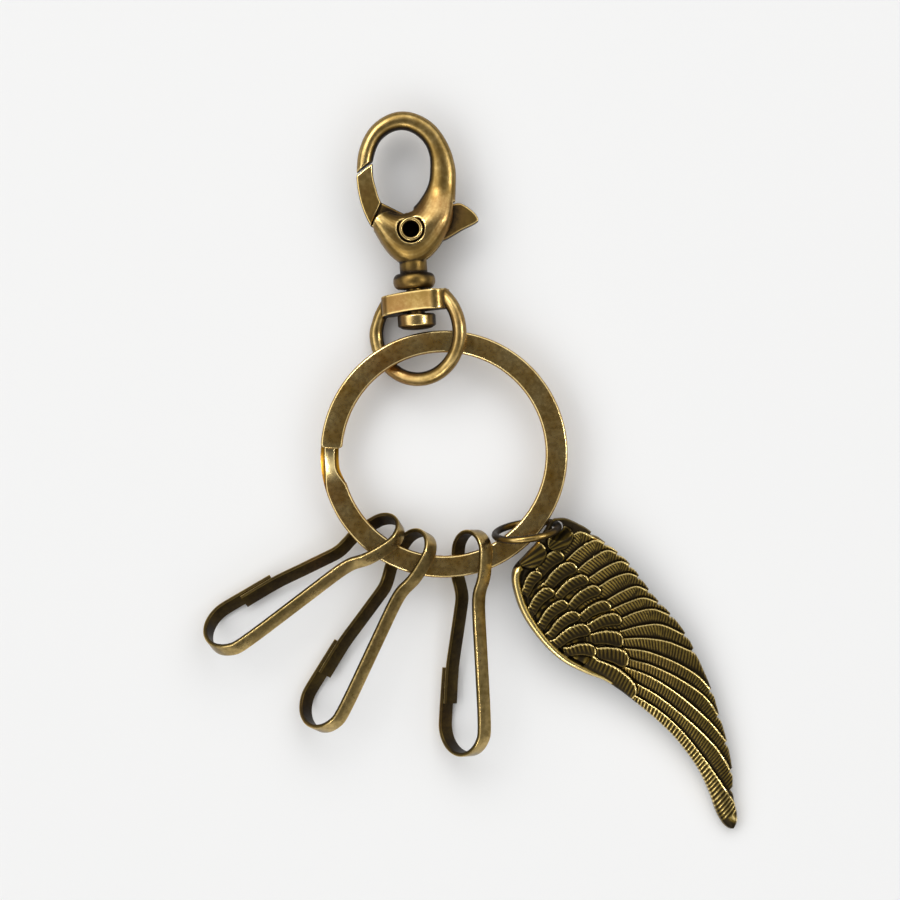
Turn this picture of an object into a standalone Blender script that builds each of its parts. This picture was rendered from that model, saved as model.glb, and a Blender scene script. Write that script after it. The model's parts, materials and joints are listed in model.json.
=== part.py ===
"""Antique brass key holder: swivel snap hook, flat split ring, three strip clips and a wing charm.

Metres, +Z up. The key holder lies on a table: X to the right, Y towards the hook's nose.
"""

from math import asin, ceil, cos, hypot, pi, radians, sin, sqrt, tan

import bmesh
import bpy
from mathutils import Matrix, Vector

# Clearances
RUNNING_GAP = 0.0002
SEAT_GAP = 0.0001
END_GAP = 0.0003
CUT_OVERRUN = 0.002

# Height of the split ring's middle plane and of the swivel's axis above the table
LINK_HEIGHT = 0.0040

# Split ring: two turns of flat strip
RING_RADIUS = 0.0175
RING_STRIP_WIDTH = 0.0031
RING_STRIP_THICKNESS = 0.00075
RING_TURN_GAP = 0.0001
RING_START_ANGLE = radians(177.0)
RING_STEP_ANGLE = radians(17.0)
RING_END_ANGLE = radians(702.0)
RING_NARROW_SHARE = 0.30
RING_NECK_SHARES = (-0.3, 0.45, 1.1, 1.5)

# Snap hook: cast body, seen along its pivot, with the pivot at its origin
HOOK_TILT = radians(3.6)
HOOK_HALF_WIDTH = 0.0070
HOOK_OPENING_HALF_WIDTH = 0.0040
HOOK_CENTRE_OFFSET = 0.0004
HOOK_CENTRE_RISE = 0.0086
HOOK_BAR_HALF_THICKNESS = 0.0015
HOOK_LOBE_HALF_THICKNESS = 0.0029
HOOK_LOBE_TOP = 0.0060
HOOK_OUTER_SHARES = (1.03, 1.03, 1.12, 1.185, 1.12, 1.01, 0.97, 1.085, 1.39, 1.95, 1.585, 1.155)
HOOK_INNER_SHARES = (0.91, 1.04, 1.25, 1.42, 1.36, 1.19, 1.125, 1.20, 1.49, 1.44, 1.125, 0.96)
HOOK_ROUNDNESS_SHARE = 0.75
CHEEK_EDGE_SHARES = (
    (-0.31, 0.49),
    (-0.37, 0.415),
    (-0.485, 0.393),
    (-0.595, 0.356),
    (-0.67, 0.293),
    (-0.725, 0.22),
    (-0.757, 0.13),
    (-0.771, 0.036),
    (-1.4, -0.05),
)

# Gate lever: arm, hub and thumb trigger in one
GATE_TIP_REACH = 0.01085
GATE_SHOULDER_REACH = 0.0057
GATE_SLOT_HALF_HEIGHT = 0.00125
GATE_HUB_RADIUS = 0.0024
TRIGGER_REACH = 0.0096
TRIGGER_SHARES = (
    (0.30, -0.235),
    (0.52, -0.165),
    (0.75, -0.047),
    (0.955, 0.04),
    (1.0, 0.10),
    (0.94, 0.205),
    (0.81, 0.315),
    (0.70, 0.352),
    (0.45, 0.300),
)
SLOT_RIGHT_LOW = radians(-70.0)
SLOT_RIGHT_MIDDLE = radians(17.0)
SLOT_RIGHT_HIGH = radians(62.0)
SLOT_LEFT_LOW = radians(80.0)
SLOT_LEFT_HIGH = radians(176.0)

# Gate rivet: rolled over at both ends, its bore blind
RIVET_BORE_RADIUS = 0.0011
RIVET_WALL = 0.00035
RIVET_FLANGE_RADIUS = 0.00174
RIVET_FLANGE_HEIGHT = 0.00055
RIVET_RECESS_LEVEL = 0.00215
RIVET_WEB = 0.0006

# Gate spring: a coil round the rivet, in a pocket of the hub
SPRING_WIRE_RADIUS = 0.00011
SPRING_TURNS = 2.0
SPRING_PITCH = 0.00064
SPRING_POINTS_PER_TURN = 14
SPRING_POCKET_FLOOR = 0.0005

# Swivel: neck and collar cast with the hook, pin with a round head
NECK_RADIUS = 0.00195
COLLAR_RADIUS = 0.0030
COLLAR_TOP = 0.0061
COLLAR_HEIGHT = 0.0022
COLLAR_ROUNDING = 0.0007
NECK_ROOT = 0.0042
PIN_RADIUS = 0.00125
PIN_HEAD_RADIUS = 0.0027
PIN_HEAD_HEIGHT = 0.0018
PIN_BURIED = 0.0014
PIN_HEAD_CHAMFER = 0.0003

# Swivel eye: a flat band with a round wire loop
BAND_HEIGHT = 0.00285
BAND_HALF_LENGTH = 0.0049
BAND_HALF_DEPTH = 0.0023
BAND_CORNER = 0.0016
BAND_TOP_GAP = 0.00045
LOOP_WIRE_RADIUS = 0.0010
LOOP_RADIUS = 0.0066
LOOP_CENTRE_DROP = 0.0029
LOOP_ROLL = radians(26.0)

# Split ring's place on the loop
RING_BELOW_HEAD = 0.0007
RING_SIDE_OFFSET = 0.00266

# Links on the split ring: the third clip's angle, and arcs from it along the middle of the strip
CLIP_3_RING_ANGLE = radians(-75.9)
CLIP_RING_ARCS = (-0.0150, -0.00891, 0.0)
JUMP_RING_ARC = 0.00919

# Strip clips: bent from flat strip, one open eye round the split ring and a sprung tongue
CLIP_STRIP_WIDTH = 0.0022
CLIP_STRIP_THICKNESS = 0.0006
CLIP_ROLL = radians(47.0)
CLIP_EYE_CLEARANCE = 0.00042
CLIP_EYE_BACK = 0.0048
CLIP_NECK = 0.0047
CLIP_NECK_HALF_WIDTH = 0.0016
CLIP_NOSE_RADIUS = 0.0041
CLIP_NOSE_CENTRE = 0.0230
CLIP_TONGUE_END = 0.0202
CLIP_TONGUE_START = 0.0060
CLIP_HOOK_END = 0.0151
CLIP_LEANS = (radians(-18.4), radians(-12.6), radians(-16.4))

# Jump ring
JUMP_WIRE_RADIUS = 0.0005
JUMP_RADIUS = 0.0045
JUMP_PLAN_ANGLE = radians(8.0)
JUMP_LEAN = radians(13.0)
JUMP_LIFT = 0.0010

# Wing charm: cast plate with overlapping feathers
WING_LENGTH = 0.0500
WING_WIDTH = 0.0184
WING_RIM_THICKNESS = 0.0011
WING_DOME = 0.0007
WING_FEATHER_STEP = 0.00038
WING_PLAN_ANGLE = radians(-60.0)
WING_HOLE_RADIUS = 0.00085
WING_HOLE_INSET = 0.0005
WING_HOLE_OFFSET = 0.0007
WING_SCALLOP = 0.00045
WING_STATION_SHARES = (
    -0.014, 0.0, 0.02, 0.034, 0.048, 0.07, 0.10, 0.142, 0.20, 0.263, 0.324, 0.385, 0.445,
    0.506, 0.567, 0.628, 0.688, 0.749, 0.81, 0.87, 0.931, 0.97, 0.99, 1.0,
)
WING_LEAD_SHARES = (
    0.0, -0.065, -0.175, -0.30, -0.44, -0.50, -0.53, -0.55, -0.562, -0.543, -0.497, -0.408, -0.28,
    -0.182, -0.114, -0.06, -0.027, -0.005, 0.0, -0.008, -0.03, -0.04, -0.035, -0.02,
)
WING_TRAIL_SHARES = (
    0.045, 0.115, 0.16, 0.185, 0.21, 0.235, 0.265, 0.30, 0.337, 0.364, 0.383, 0.408, 0.435,
    0.44, 0.43, 0.413, 0.397, 0.348, 0.27, 0.20, 0.135, 0.095, 0.06, 0.01,
)
FEATHER_COUNT = 13
FEATHER_ROOT_SHARES = (
    (0.10, -0.02), (0.175, 0.01), (0.26, 0.03), (0.34, 0.022), (0.43, -0.006), (0.53, -0.12),
)
FEATHER_TIP_SHARES = (
    (0.05, 0.235), (0.14, 0.33), (0.263, 0.38), (0.42, 0.43), (0.66, 0.42), (0.93, 0.08),
)
COVERT_COUNT = 9
COVERT_ROWS = 3

# Fineness of round shapes
BODY_SIDES = 56
BODY_PROFILE_STEPS = 6
ROUND_SIDES = 32
WIRE_SIDES = 12
RING_STEP_DEGREES = 5.0
SPLINE_STEPS = 5
WING_ROWS = 84
WING_COLUMNS = 30

BRASS = (0.36, 0.25, 0.105)
DARK_BRASS = (0.23, 0.16, 0.07)

FULL_TURN = 2 * pi
Y_AXIS = Vector((0, 1, 0))
Z_AXIS = Vector((0, 0, 1))

RING_THICKNESS = 2 * RING_STRIP_THICKNESS + RING_TURN_GAP
RING_MIDDLE_RADIUS = RING_RADIUS - RING_STRIP_WIDTH / 2
RIVET_SHANK_RADIUS = RIVET_BORE_RADIUS + RIVET_WALL
GATE_HALF_HEIGHT = GATE_SLOT_HALF_HEIGHT - RUNNING_GAP
SLOT_HUB_RADIUS = GATE_HUB_RADIUS + RUNNING_GAP
BAND_TOP = -COLLAR_TOP - COLLAR_HEIGHT - BAND_TOP_GAP
BAND_MIDDLE = BAND_TOP - BAND_HEIGHT / 2
HEAD_TOP = BAND_TOP - BAND_HEIGHT - END_GAP
HEAD_BOTTOM = HEAD_TOP - PIN_HEAD_HEIGHT
LOOP_CENTRE = BAND_TOP - BAND_HEIGHT - LOOP_CENTRE_DROP


def clear_scene():
    for obj in list(bpy.data.objects):
        bpy.data.objects.remove(obj, do_unlink=True)


def polar(radius, angle, height=0.0):
    return Vector((radius * cos(angle), radius * sin(angle), height))


def smooth_path(points, steps=SPLINE_STEPS):
    """Points on a Catmull-Rom curve through the given points."""
    last = len(points) - 1
    path = []
    for i in range(last):
        before, start, end, after = (points[min(max(i + k, 0), last)] for k in (-1, 0, 1, 2))
        for step in range(steps):
            t = step / steps
            path.append(
                0.5
                * (
                    2 * start
                    + (end - before) * t
                    + (2 * before - 5 * start + 4 * end - after) * t**2
                    + (3 * start - before - 3 * end + after) * t**3
                )
            )
    path.append(points[-1].copy())
    return path


def table_value(shares, position):
    """Value of a closed table of shares at a position counted in entries, on a Catmull-Rom curve."""
    count = len(shares)
    i = int(position // 1)
    t = position - i
    before, start, end, after = (shares[(i + k) % count] for k in (-1, 0, 1, 2))
    return 0.5 * (
        2 * start
        + (end - before) * t
        + (2 * before - 5 * start + 4 * end - after) * t**2
        + (3 * start - before - 3 * end + after) * t**3
    )


def between(value, knots, values):
    """Straight interpolation in a table with rising knots."""
    for i in range(1, len(knots)):
        if value <= knots[i]:
            t = (value - knots[i - 1]) / (knots[i] - knots[i - 1])
            return values[i - 1] + (values[i] - values[i - 1]) * min(max(t, 0.0), 1.0)
    return values[-1]


def smooth_step(t):
    t = min(max(t, 0.0), 1.0)
    return t * t * (3 - 2 * t)


def mesh_from_rings(name, rings, joined=False):
    """Closed mesh through rings of points; the end rings are capped, or joined to each other."""
    count = len(rings[0])
    points = [point for ring in rings for point in ring]
    spans = len(rings) if joined else len(rings) - 1
    faces = []
    for i in range(spans):
        this, following = i * count, (i + 1) % len(rings) * count
        for k in range(count):
            nxt = (k + 1) % count
            faces.append((this + k, this + nxt, following + nxt, following + k))
    if not joined:
        faces.append(tuple(range(count)))
        faces.append(tuple(range((len(rings) - 1) * count, len(rings) * count)))
    mesh = bpy.data.meshes.new(name)
    mesh.from_pydata(points, [], faces)
    face_outwards(mesh)
    return mesh


def face_outwards(mesh):
    shape = bmesh.new()
    shape.from_mesh(mesh)
    bmesh.ops.recalc_face_normals(shape, faces=shape.faces)
    shape.to_mesh(mesh)
    shape.free()


def finish_material(name, colour, roughness):
    material = bpy.data.materials.new(name + "_finish")
    material.use_nodes = True
    shader = material.node_tree.nodes["Principled BSDF"]
    shader.inputs["Base Color"].default_value = (*colour, 1.0)
    shader.inputs["Metallic"].default_value = 1.0
    shader.inputs["Roughness"].default_value = roughness
    return material


def add_piece(name, mesh, parent, frame=None, colour=BRASS, roughness=0.38):
    obj = bpy.data.objects.new(name, mesh)
    bpy.context.collection.objects.link(obj)
    mesh.materials.append(finish_material(name, colour, roughness))
    mesh.shade_smooth()
    mesh.set_sharp_from_angle(angle=radians(32))
    obj.parent = parent
    if frame is not None:
        obj.matrix_local = frame
    return obj


def add_helper(name, mesh, parent, frame=None):
    obj = bpy.data.objects.new(name, mesh)
    bpy.context.collection.objects.link(obj)
    obj.parent = parent
    if frame is not None:
        obj.matrix_local = frame
    obj.hide_render = True
    obj.display_type = "WIRE"
    return obj


def add_axis(name, parent, frame):
    """Empty on a joint's axis or at a piece's datum."""
    obj = bpy.data.objects.new(name, None)
    bpy.context.collection.objects.link(obj)
    obj.parent = parent
    obj.matrix_local = frame
    return obj


def combine(obj, helper, operation):
    modifier = obj.modifiers.new(helper.name, "BOOLEAN")
    modifier.object = helper
    modifier.operation = operation
    modifier.solver = "EXACT"


def plate_mesh(name, outline, low, high):
    """Straight plate of an outline in X and Y."""
    return mesh_from_rings(name, [[Vector((p.x, p.y, z)) for p in outline] for z in (low, high)])


def spindle_mesh(name, stations, sides=ROUND_SIDES, axis="Z"):
    """Solid of revolution from (place on the axis, radius) stations, its ends flat."""
    rings = []
    for place, radius in stations:
        ring = [polar(radius, FULL_TURN * k / sides, place) for k in range(sides)]
        if axis == "Y":
            ring = [Vector((p.x, p.z, -p.y)) for p in ring]
        rings.append(ring)
    return mesh_from_rings(name, rings)


def wire_mesh(name, path, radius, normal, sides=WIRE_SIDES, joined=False):
    """Round wire along a path in a plane with the given normal."""
    rings = []
    last = len(path) - 1
    for i, point in enumerate(path):
        if joined:
            ahead, behind = path[(i + 1) % len(path)], path[i - 1]
        else:
            ahead, behind = path[min(i + 1, last)], path[max(i - 1, 0)]
        along = (ahead - behind).normalized()
        side = along.cross(normal).normalized()
        rings.append(
            [
                point + radius * (cos(FULL_TURN * k / sides) * side + sin(FULL_TURN * k / sides) * normal)
                for k in range(sides)
            ]
        )
    return mesh_from_rings(name, rings, joined=joined)


def strip_mesh(name, path, width, thickness):
    """Flat strip bent along a path in X and Y, its width along Z."""
    rings = []
    last = len(path) - 1
    for i, point in enumerate(path):
        along = (path[min(i + 1, last)] - path[max(i - 1, 0)]).normalized()
        side = along.cross(Z_AXIS) * (thickness / 2)
        rise = Z_AXIS * (width / 2)
        rings.append([point - side - rise, point + side - rise, point + side + rise, point - side + rise])
    return mesh_from_rings(name, rings)


# Snap hook


def hook_outer_radius(angle):
    position = angle % FULL_TURN / FULL_TURN * len(HOOK_OUTER_SHARES)
    return HOOK_HALF_WIDTH * table_value(HOOK_OUTER_SHARES, position)


def hook_inner_radius(angle):
    return HOOK_OPENING_HALF_WIDTH * table_value(
        HOOK_INNER_SHARES, angle % FULL_TURN / FULL_TURN * len(HOOK_INNER_SHARES)
    )


def hook_contour_point(radius_at, angle):
    return Vector((-HOOK_CENTRE_OFFSET, HOOK_CENTRE_RISE, 0)) + polar(radius_at(angle), angle)


def contour_point_at_reach(radius_at, reach):
    """Point of a contour on the gate's side at a given distance from the pivot."""
    high, low = radians(140), radians(262)
    for _ in range(40):
        middle = (high + low) / 2
        if hook_contour_point(radius_at, middle).length > reach:
            high = middle
        else:
            low = middle
    return hook_contour_point(radius_at, middle)


def hook_half_thickness(height):
    blend = smooth_step(1 - height / HOOK_LOBE_TOP)
    return HOOK_BAR_HALF_THICKNESS + (HOOK_LOBE_HALF_THICKNESS - HOOK_BAR_HALF_THICKNESS) * blend


def hook_body_mesh():
    rings = []
    steps = BODY_PROFILE_STEPS
    for k in range(BODY_SIDES):
        angle = FULL_TURN * k / BODY_SIDES
        outer = hook_contour_point(hook_outer_radius, angle)
        inner = hook_contour_point(hook_inner_radius, angle)
        ring = []
        for j in range(2 * steps):
            turn = pi * j / steps
            across = (1 - cos(turn)) / 2
            point = outer.lerp(inner, across)
            rise = abs(sin(turn)) ** HOOK_ROUNDNESS_SHARE * hook_half_thickness(point.y)
            ring.append(point + Z_AXIS * (rise if j <= steps else -rise))
        rings.append(ring)
    return mesh_from_rings("hook_body", rings, joined=True)


def arc(radius, start, end, steps=8):
    return [polar(radius, start + (end - start) * k / steps) for k in range(steps + 1)]


def gate_gap_outline():
    """Gap between the hook's nose and its cheeks, where the gate's arm lies."""
    reach = GATE_TIP_REACH + END_GAP
    nose = arc(reach, radians(146), radians(106))
    cheek = [HOOK_HALF_WIDTH * Vector((x, y, 0)) for x, y in CHEEK_EDGE_SHARES]
    return nose + cheek


def gate_slot_outline():
    """Slot through the lobe for the hub, the arm's root and the trigger."""
    far = TRIGGER_REACH + CUT_OVERRUN
    near = SLOT_HUB_RADIUS
    outline = arc(far, SLOT_RIGHT_LOW, SLOT_RIGHT_MIDDLE)
    outline += [TRIGGER_REACH * Vector((x, y, 0)) + Y_AXIS * END_GAP for x, y in TRIGGER_SHARES[-3:]]
    outline += arc(near, SLOT_RIGHT_HIGH, SLOT_LEFT_LOW)
    outline += arc(GATE_SHOULDER_REACH + CUT_OVERRUN, SLOT_LEFT_LOW, SLOT_LEFT_HIGH)
    outline += arc(near, SLOT_LEFT_HIGH, SLOT_RIGHT_LOW + FULL_TURN)
    return outline


def neck_mesh():
    bottom = COLLAR_TOP + COLLAR_HEIGHT
    stations = [
        (NECK_ROOT, NECK_RADIUS),
        (COLLAR_TOP, NECK_RADIUS),
        (COLLAR_TOP, COLLAR_RADIUS - COLLAR_ROUNDING),
    ]
    for k in (1, 2, 3):
        turn = pi / 2 * k / 3
        stations.append(
            (
                COLLAR_TOP + COLLAR_ROUNDING * (1 - cos(turn)),
                COLLAR_RADIUS - COLLAR_ROUNDING * (1 - sin(turn)),
            )
        )
    for k in (0, 1, 2, 3):
        turn = pi / 2 * k / 3
        stations.append(
            (
                bottom - COLLAR_ROUNDING * (1 - sin(turn)),
                COLLAR_RADIUS - COLLAR_ROUNDING * (1 - cos(turn)),
            )
        )
    return spindle_mesh("neck_and_collar", [(-place, radius) for place, radius in stations], axis="Y")


def rivet_hole_mesh():
    recess = RIVET_FLANGE_RADIUS + RUNNING_GAP
    bore = RIVET_SHANK_RADIUS + SEAT_GAP
    top = HOOK_LOBE_HALF_THICKNESS + CUT_OVERRUN
    level = RIVET_RECESS_LEVEL
    stations = [
        (-top, recess), (-level, recess), (-level, bore), (level, bore), (level, recess), (top, recess),
    ]
    return spindle_mesh("rivet_hole", stations)


def build_hook_body(hook):
    body = add_piece("hook_body", hook_body_mesh(), hook)
    overrun = HOOK_LOBE_HALF_THICKNESS + CUT_OVERRUN
    gap = plate_mesh("gap", gate_gap_outline(), -overrun, overrun)
    combine(body, add_helper("gate_gap_cut", gap, hook), "DIFFERENCE")
    slot = plate_mesh("slot", gate_slot_outline(), -GATE_SLOT_HALF_HEIGHT, GATE_SLOT_HALF_HEIGHT)
    combine(body, add_helper("gate_slot_cut", slot, hook), "DIFFERENCE")
    combine(body, add_helper("rivet_hole_cut", rivet_hole_mesh(), hook), "DIFFERENCE")
    combine(body, add_helper("neck_form", neck_mesh(), hook), "UNION")
    pin_bore = PIN_RADIUS + SEAT_GAP
    bore_end = -COLLAR_TOP - COLLAR_HEIGHT
    stations = [(bore_end + PIN_BURIED + END_GAP, pin_bore), (bore_end - CUT_OVERRUN, pin_bore)]
    bore = spindle_mesh("pin_bore", stations, axis="Y")
    combine(body, add_helper("pin_bore_cut", bore, hook), "DIFFERENCE")
    return body


def gate_arm_outline(low_reach, high_reach, steps=8):
    """Outline of the gate's arm between the hook's two contours."""
    reaches = [low_reach + (high_reach - low_reach) * k / steps for k in range(steps + 1)]
    outer = [contour_point_at_reach(hook_outer_radius, reach) for reach in reaches]
    inner = [contour_point_at_reach(hook_inner_radius, reach) for reach in reversed(reaches)]
    tip = (outer[-1] + inner[0]).normalized() * high_reach
    return outer + [tip] + inner


def gate_lever_outline():
    """Outline of the thin plate: root of the arm, hub and trigger."""
    arm_root = gate_arm_outline(GATE_SHOULDER_REACH, GATE_TIP_REACH - CUT_OVERRUN)
    trigger = [TRIGGER_REACH * Vector((x, y, 0)) for x, y in TRIGGER_SHARES]
    below = arc(GATE_HUB_RADIUS, radians(172), radians(318), 12)
    above = arc(GATE_HUB_RADIUS, radians(58), radians(108), 5)
    return below + trigger + above + list(reversed(arm_root))


def build_gate(hook):
    plate = plate_mesh("gate_lever", gate_lever_outline(), -GATE_HALF_HEIGHT, GATE_HALF_HEIGHT)
    gate = add_piece("gate_lever", plate, hook, roughness=0.42)
    thick = HOOK_BAR_HALF_THICKNESS
    arm = plate_mesh("arm", gate_arm_outline(GATE_SHOULDER_REACH, GATE_TIP_REACH), -thick, thick)
    combine(gate, add_helper("gate_arm_form", arm, hook), "UNION")
    bore = RIVET_SHANK_RADIUS + SEAT_GAP
    top = HOOK_BAR_HALF_THICKNESS + CUT_OVERRUN
    pocket = spring_pocket_radius()
    floor = GATE_HALF_HEIGHT - SPRING_POCKET_FLOOR
    stations = [(-top, bore), (-floor, bore), (-floor, pocket), (GATE_HALF_HEIGHT + SEAT_GAP, pocket)]
    combine(gate, add_helper("gate_bore_cut", spindle_mesh("gate_bore", stations), hook), "DIFFERENCE")
    return gate


def spring_mean_radius():
    return RIVET_SHANK_RADIUS + RUNNING_GAP + SPRING_WIRE_RADIUS


def spring_pocket_radius():
    return spring_mean_radius() + SPRING_WIRE_RADIUS + SEAT_GAP


def build_spring(hook):
    """Coil spring; prints its least gap between turns, which is over one wire."""
    count = int(SPRING_TURNS * SPRING_POINTS_PER_TURN)
    height = SPRING_PITCH * SPRING_TURNS
    path = []
    for k in range(count + 1):
        turns = k / SPRING_POINTS_PER_TURN
        path.append(polar(spring_mean_radius(), FULL_TURN * turns, SPRING_PITCH * turns - height / 2))
    rings = []
    sides = 6
    for i, point in enumerate(path):
        along = (path[min(i + 1, count)] - path[max(i - 1, 0)]).normalized()
        out = Vector((point.x, point.y, 0)).normalized()
        up = along.cross(out)
        turns = [FULL_TURN * k / sides for k in range(sides)]
        rings.append([point + SPRING_WIRE_RADIUS * (cos(turn) * out + sin(turn) * up) for turn in turns])
    middle = (GATE_SLOT_HALF_HEIGHT - GATE_HALF_HEIGHT + SPRING_POCKET_FLOOR) / 2
    apart = min((after - before).length for before, after in zip(path, path[SPRING_POINTS_PER_TURN:]))
    print("gate_spring least gap between turns", round(apart - 2 * SPRING_WIRE_RADIUS, 6))
    place = Matrix.Translation(Z_AXIS * middle)
    return add_piece("gate_spring", mesh_from_rings("gate_spring", rings), hook, place, DARK_BRASS)


def build_rivet(hook):
    """Solid of revolution with a blind bore from its upper end."""
    level = RIVET_RECESS_LEVEL + SEAT_GAP
    lip = RIVET_FLANGE_HEIGHT
    bore, shank, flange = RIVET_BORE_RADIUS, RIVET_SHANK_RADIUS, RIVET_FLANGE_RADIUS
    half = [(level, shank), (level, flange), (level + lip / 2, flange)]
    for k in range(1, 5):
        turn = pi / 2 * k / 4
        half.append((level + lip / 2 + lip / 2 * sin(turn), flange - (flange - bore) * (1 - cos(turn)) / 2))
    half.append((level + lip, bore + RIVET_WALL / 4))
    stations = [(-place, radius) for place, radius in reversed(half)] + half
    rivet = add_piece("gate_rivet", spindle_mesh("gate_rivet", stations), hook, roughness=0.3)
    top = level + lip
    bore_cut = spindle_mesh("rivet_bore", [(RIVET_WEB - top, bore), (top + CUT_OVERRUN, bore)], sides=24)
    combine(rivet, add_helper("rivet_bore_cut", bore_cut, hook), "DIFFERENCE")
    return rivet


def build_pin(hook):
    top = -COLLAR_TOP - COLLAR_HEIGHT + PIN_BURIED
    chamfer = PIN_HEAD_CHAMFER
    stations = [
        (top, PIN_RADIUS),
        (HEAD_TOP, PIN_RADIUS),
        (HEAD_TOP, PIN_HEAD_RADIUS - chamfer),
        (HEAD_TOP - chamfer, PIN_HEAD_RADIUS),
        (HEAD_BOTTOM + chamfer, PIN_HEAD_RADIUS),
        (HEAD_BOTTOM, PIN_HEAD_RADIUS - chamfer),
    ]
    return add_piece("swivel_pin", spindle_mesh("swivel_pin", stations, axis="Y"), hook)


def band_mesh():
    """Flat band of the swivel eye: a block with round corners, seen along the swivel's axis."""
    outline = []
    for k, (side, depth) in enumerate(((1, 1), (-1, 1), (-1, -1), (1, -1))):
        centre = Vector((side * (BAND_HALF_LENGTH - BAND_CORNER), depth * (BAND_HALF_DEPTH - BAND_CORNER), 0))
        outline += [centre + polar(BAND_CORNER, pi / 2 * (k + j / 4)) for j in range(5)]
    rings = [[Vector((p.x, y, p.y)) for p in outline] for y in (BAND_TOP, BAND_TOP - BAND_HEIGHT)]
    return mesh_from_rings("band", rings)


def build_swivel_eye(hook):
    roll = Matrix.Rotation(-LOOP_ROLL, 4, "Y")
    eye = add_piece("swivel_eye", band_mesh(), hook, roll)
    meet = asin((BAND_MIDDLE - LOOP_CENTRE) / LOOP_RADIUS)
    count = 40
    centre = Vector((0, LOOP_CENTRE, 0))
    sweep = pi + 2 * meet
    path = [centre + polar(LOOP_RADIUS, meet - sweep * k / count) for k in range(count + 1)]
    wire = wire_mesh("loop", path, LOOP_WIRE_RADIUS, Z_AXIS)
    combine(eye, add_helper("loop_form", wire, hook, roll), "UNION")
    bore = PIN_RADIUS + SEAT_GAP
    stations = [(BAND_TOP + CUT_OVERRUN / 4, bore), (BAND_TOP - BAND_HEIGHT - CUT_OVERRUN / 4, bore)]
    hole = spindle_mesh("band_bore", stations, axis="Y")
    combine(eye, add_helper("band_bore_cut", hole, hook, roll), "DIFFERENCE")
    return eye


# Split ring


def build_split_ring(parent, frame):
    steps = ceil(RING_END_ANGLE / radians(RING_STEP_DEGREES))
    rise = (RING_STRIP_THICKNESS + RING_TURN_GAP) / 2
    step_start = FULL_TURN - RING_STEP_ANGLE
    rings = []
    for k in range(steps + 1):
        turned = RING_END_ANGLE * k / steps
        share = (turned - step_start) / RING_STEP_ANGLE
        level = rise * (1 - 2 * smooth_step(share))
        narrows, narrow, widens, wide = RING_NECK_SHARES
        narrowing = smooth_step((share - narrows) / (narrow - narrows))
        narrowing -= smooth_step((share - widens) / (wide - widens))
        inner = RING_RADIUS - RING_STRIP_WIDTH * (1 - RING_NARROW_SHARE * narrowing)
        angle = RING_START_ANGLE - turned
        half = RING_STRIP_THICKNESS / 2
        rings.append(
            [
                polar(inner, angle, level - half),
                polar(RING_RADIUS, angle, level - half),
                polar(RING_RADIUS, angle, level + half),
                polar(inner, angle, level + half),
            ]
        )
    return add_piece("split_ring", mesh_from_rings("split_ring", rings), parent, frame)


# Strip clips


def clip_eye_half_width():
    """Middle line of the eye, wide enough for the split ring to pass at the clip's roll."""
    slant = pi / 2 - CLIP_ROLL
    inner = RING_THICKNESS / cos(slant) + CLIP_STRIP_WIDTH * tan(slant)
    return inner / 2 + CLIP_EYE_CLEARANCE + CLIP_STRIP_THICKNESS / 2


def clip_frame_path():
    """Middle line of the clip from its tongue's root, round the eye, along the leg and round the nose."""
    wide = clip_eye_half_width()
    back = CLIP_EYE_BACK - CLIP_STRIP_THICKNESS / 2
    reach = RING_STRIP_WIDTH
    neck = CLIP_NECK_HALF_WIDTH
    left = [
        Vector((CLIP_TONGUE_START - END_GAP, -neck - SEAT_GAP, 0)),
        Vector((CLIP_NECK, -neck, 0)),
        Vector((CLIP_NECK - reach / 2, -(neck + wide) / 2, 0)),
        Vector((reach / 2, -wide, 0)),
    ]
    right = [Vector((p.x, -p.y, 0)) for p in reversed(left[1:])]
    end_centre = Vector((wide - back, 0, 0))
    end = [end_centre + polar(wide, -pi / 2 - pi * k / 10) for k in range(11)]
    eye = smooth_path(left + end + right, steps=3)
    slope = (CLIP_NOSE_RADIUS - neck) / (CLIP_NOSE_CENTRE - CLIP_NECK)
    leg_end = Vector((CLIP_NOSE_CENTRE - CLIP_NOSE_RADIUS / 4, CLIP_NOSE_RADIUS * (1 - slope / 4), 0))
    leg = [eye[-1].lerp(leg_end, t) for t in (0.25, 0.5, 0.75, 0.9)]
    nose_centre = Vector((CLIP_NOSE_CENTRE, 0, 0))
    nose = [nose_centre + polar(CLIP_NOSE_RADIUS, pi / 2 - slope - (pi - slope) * k / 14) for k in range(15)]
    hook_end = Vector((CLIP_HOOK_END, -hook_end_offset(), 0))
    tail = [nose[-1].lerp(hook_end, t) for t in (0.35, 0.7, 1.0)]
    return eye + leg + nose + tail


def hook_end_offset():
    return CLIP_NOSE_RADIUS - CLIP_STRIP_THICKNESS / 2


def clip_tongue_path():
    """Middle line of the sprung tongue, from its root to its free end inside the hook end."""
    start = Vector((CLIP_TONGUE_START, -CLIP_NECK_HALF_WIDTH - SEAT_GAP, 0))
    inside = hook_end_offset() - CLIP_STRIP_THICKNESS - SEAT_GAP
    rest = Vector((CLIP_HOOK_END, -inside, 0))
    end = Vector((CLIP_TONGUE_END, -inside - CLIP_STRIP_THICKNESS / 6, 0))
    return [start, start.lerp(rest, 0.33), start.lerp(rest, 0.66), rest, end]


def link_angle(ring_arc):
    """Angle of a link on the split ring from its arc to the third clip."""
    return CLIP_3_RING_ANGLE + ring_arc / RING_MIDDLE_RADIUS


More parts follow.
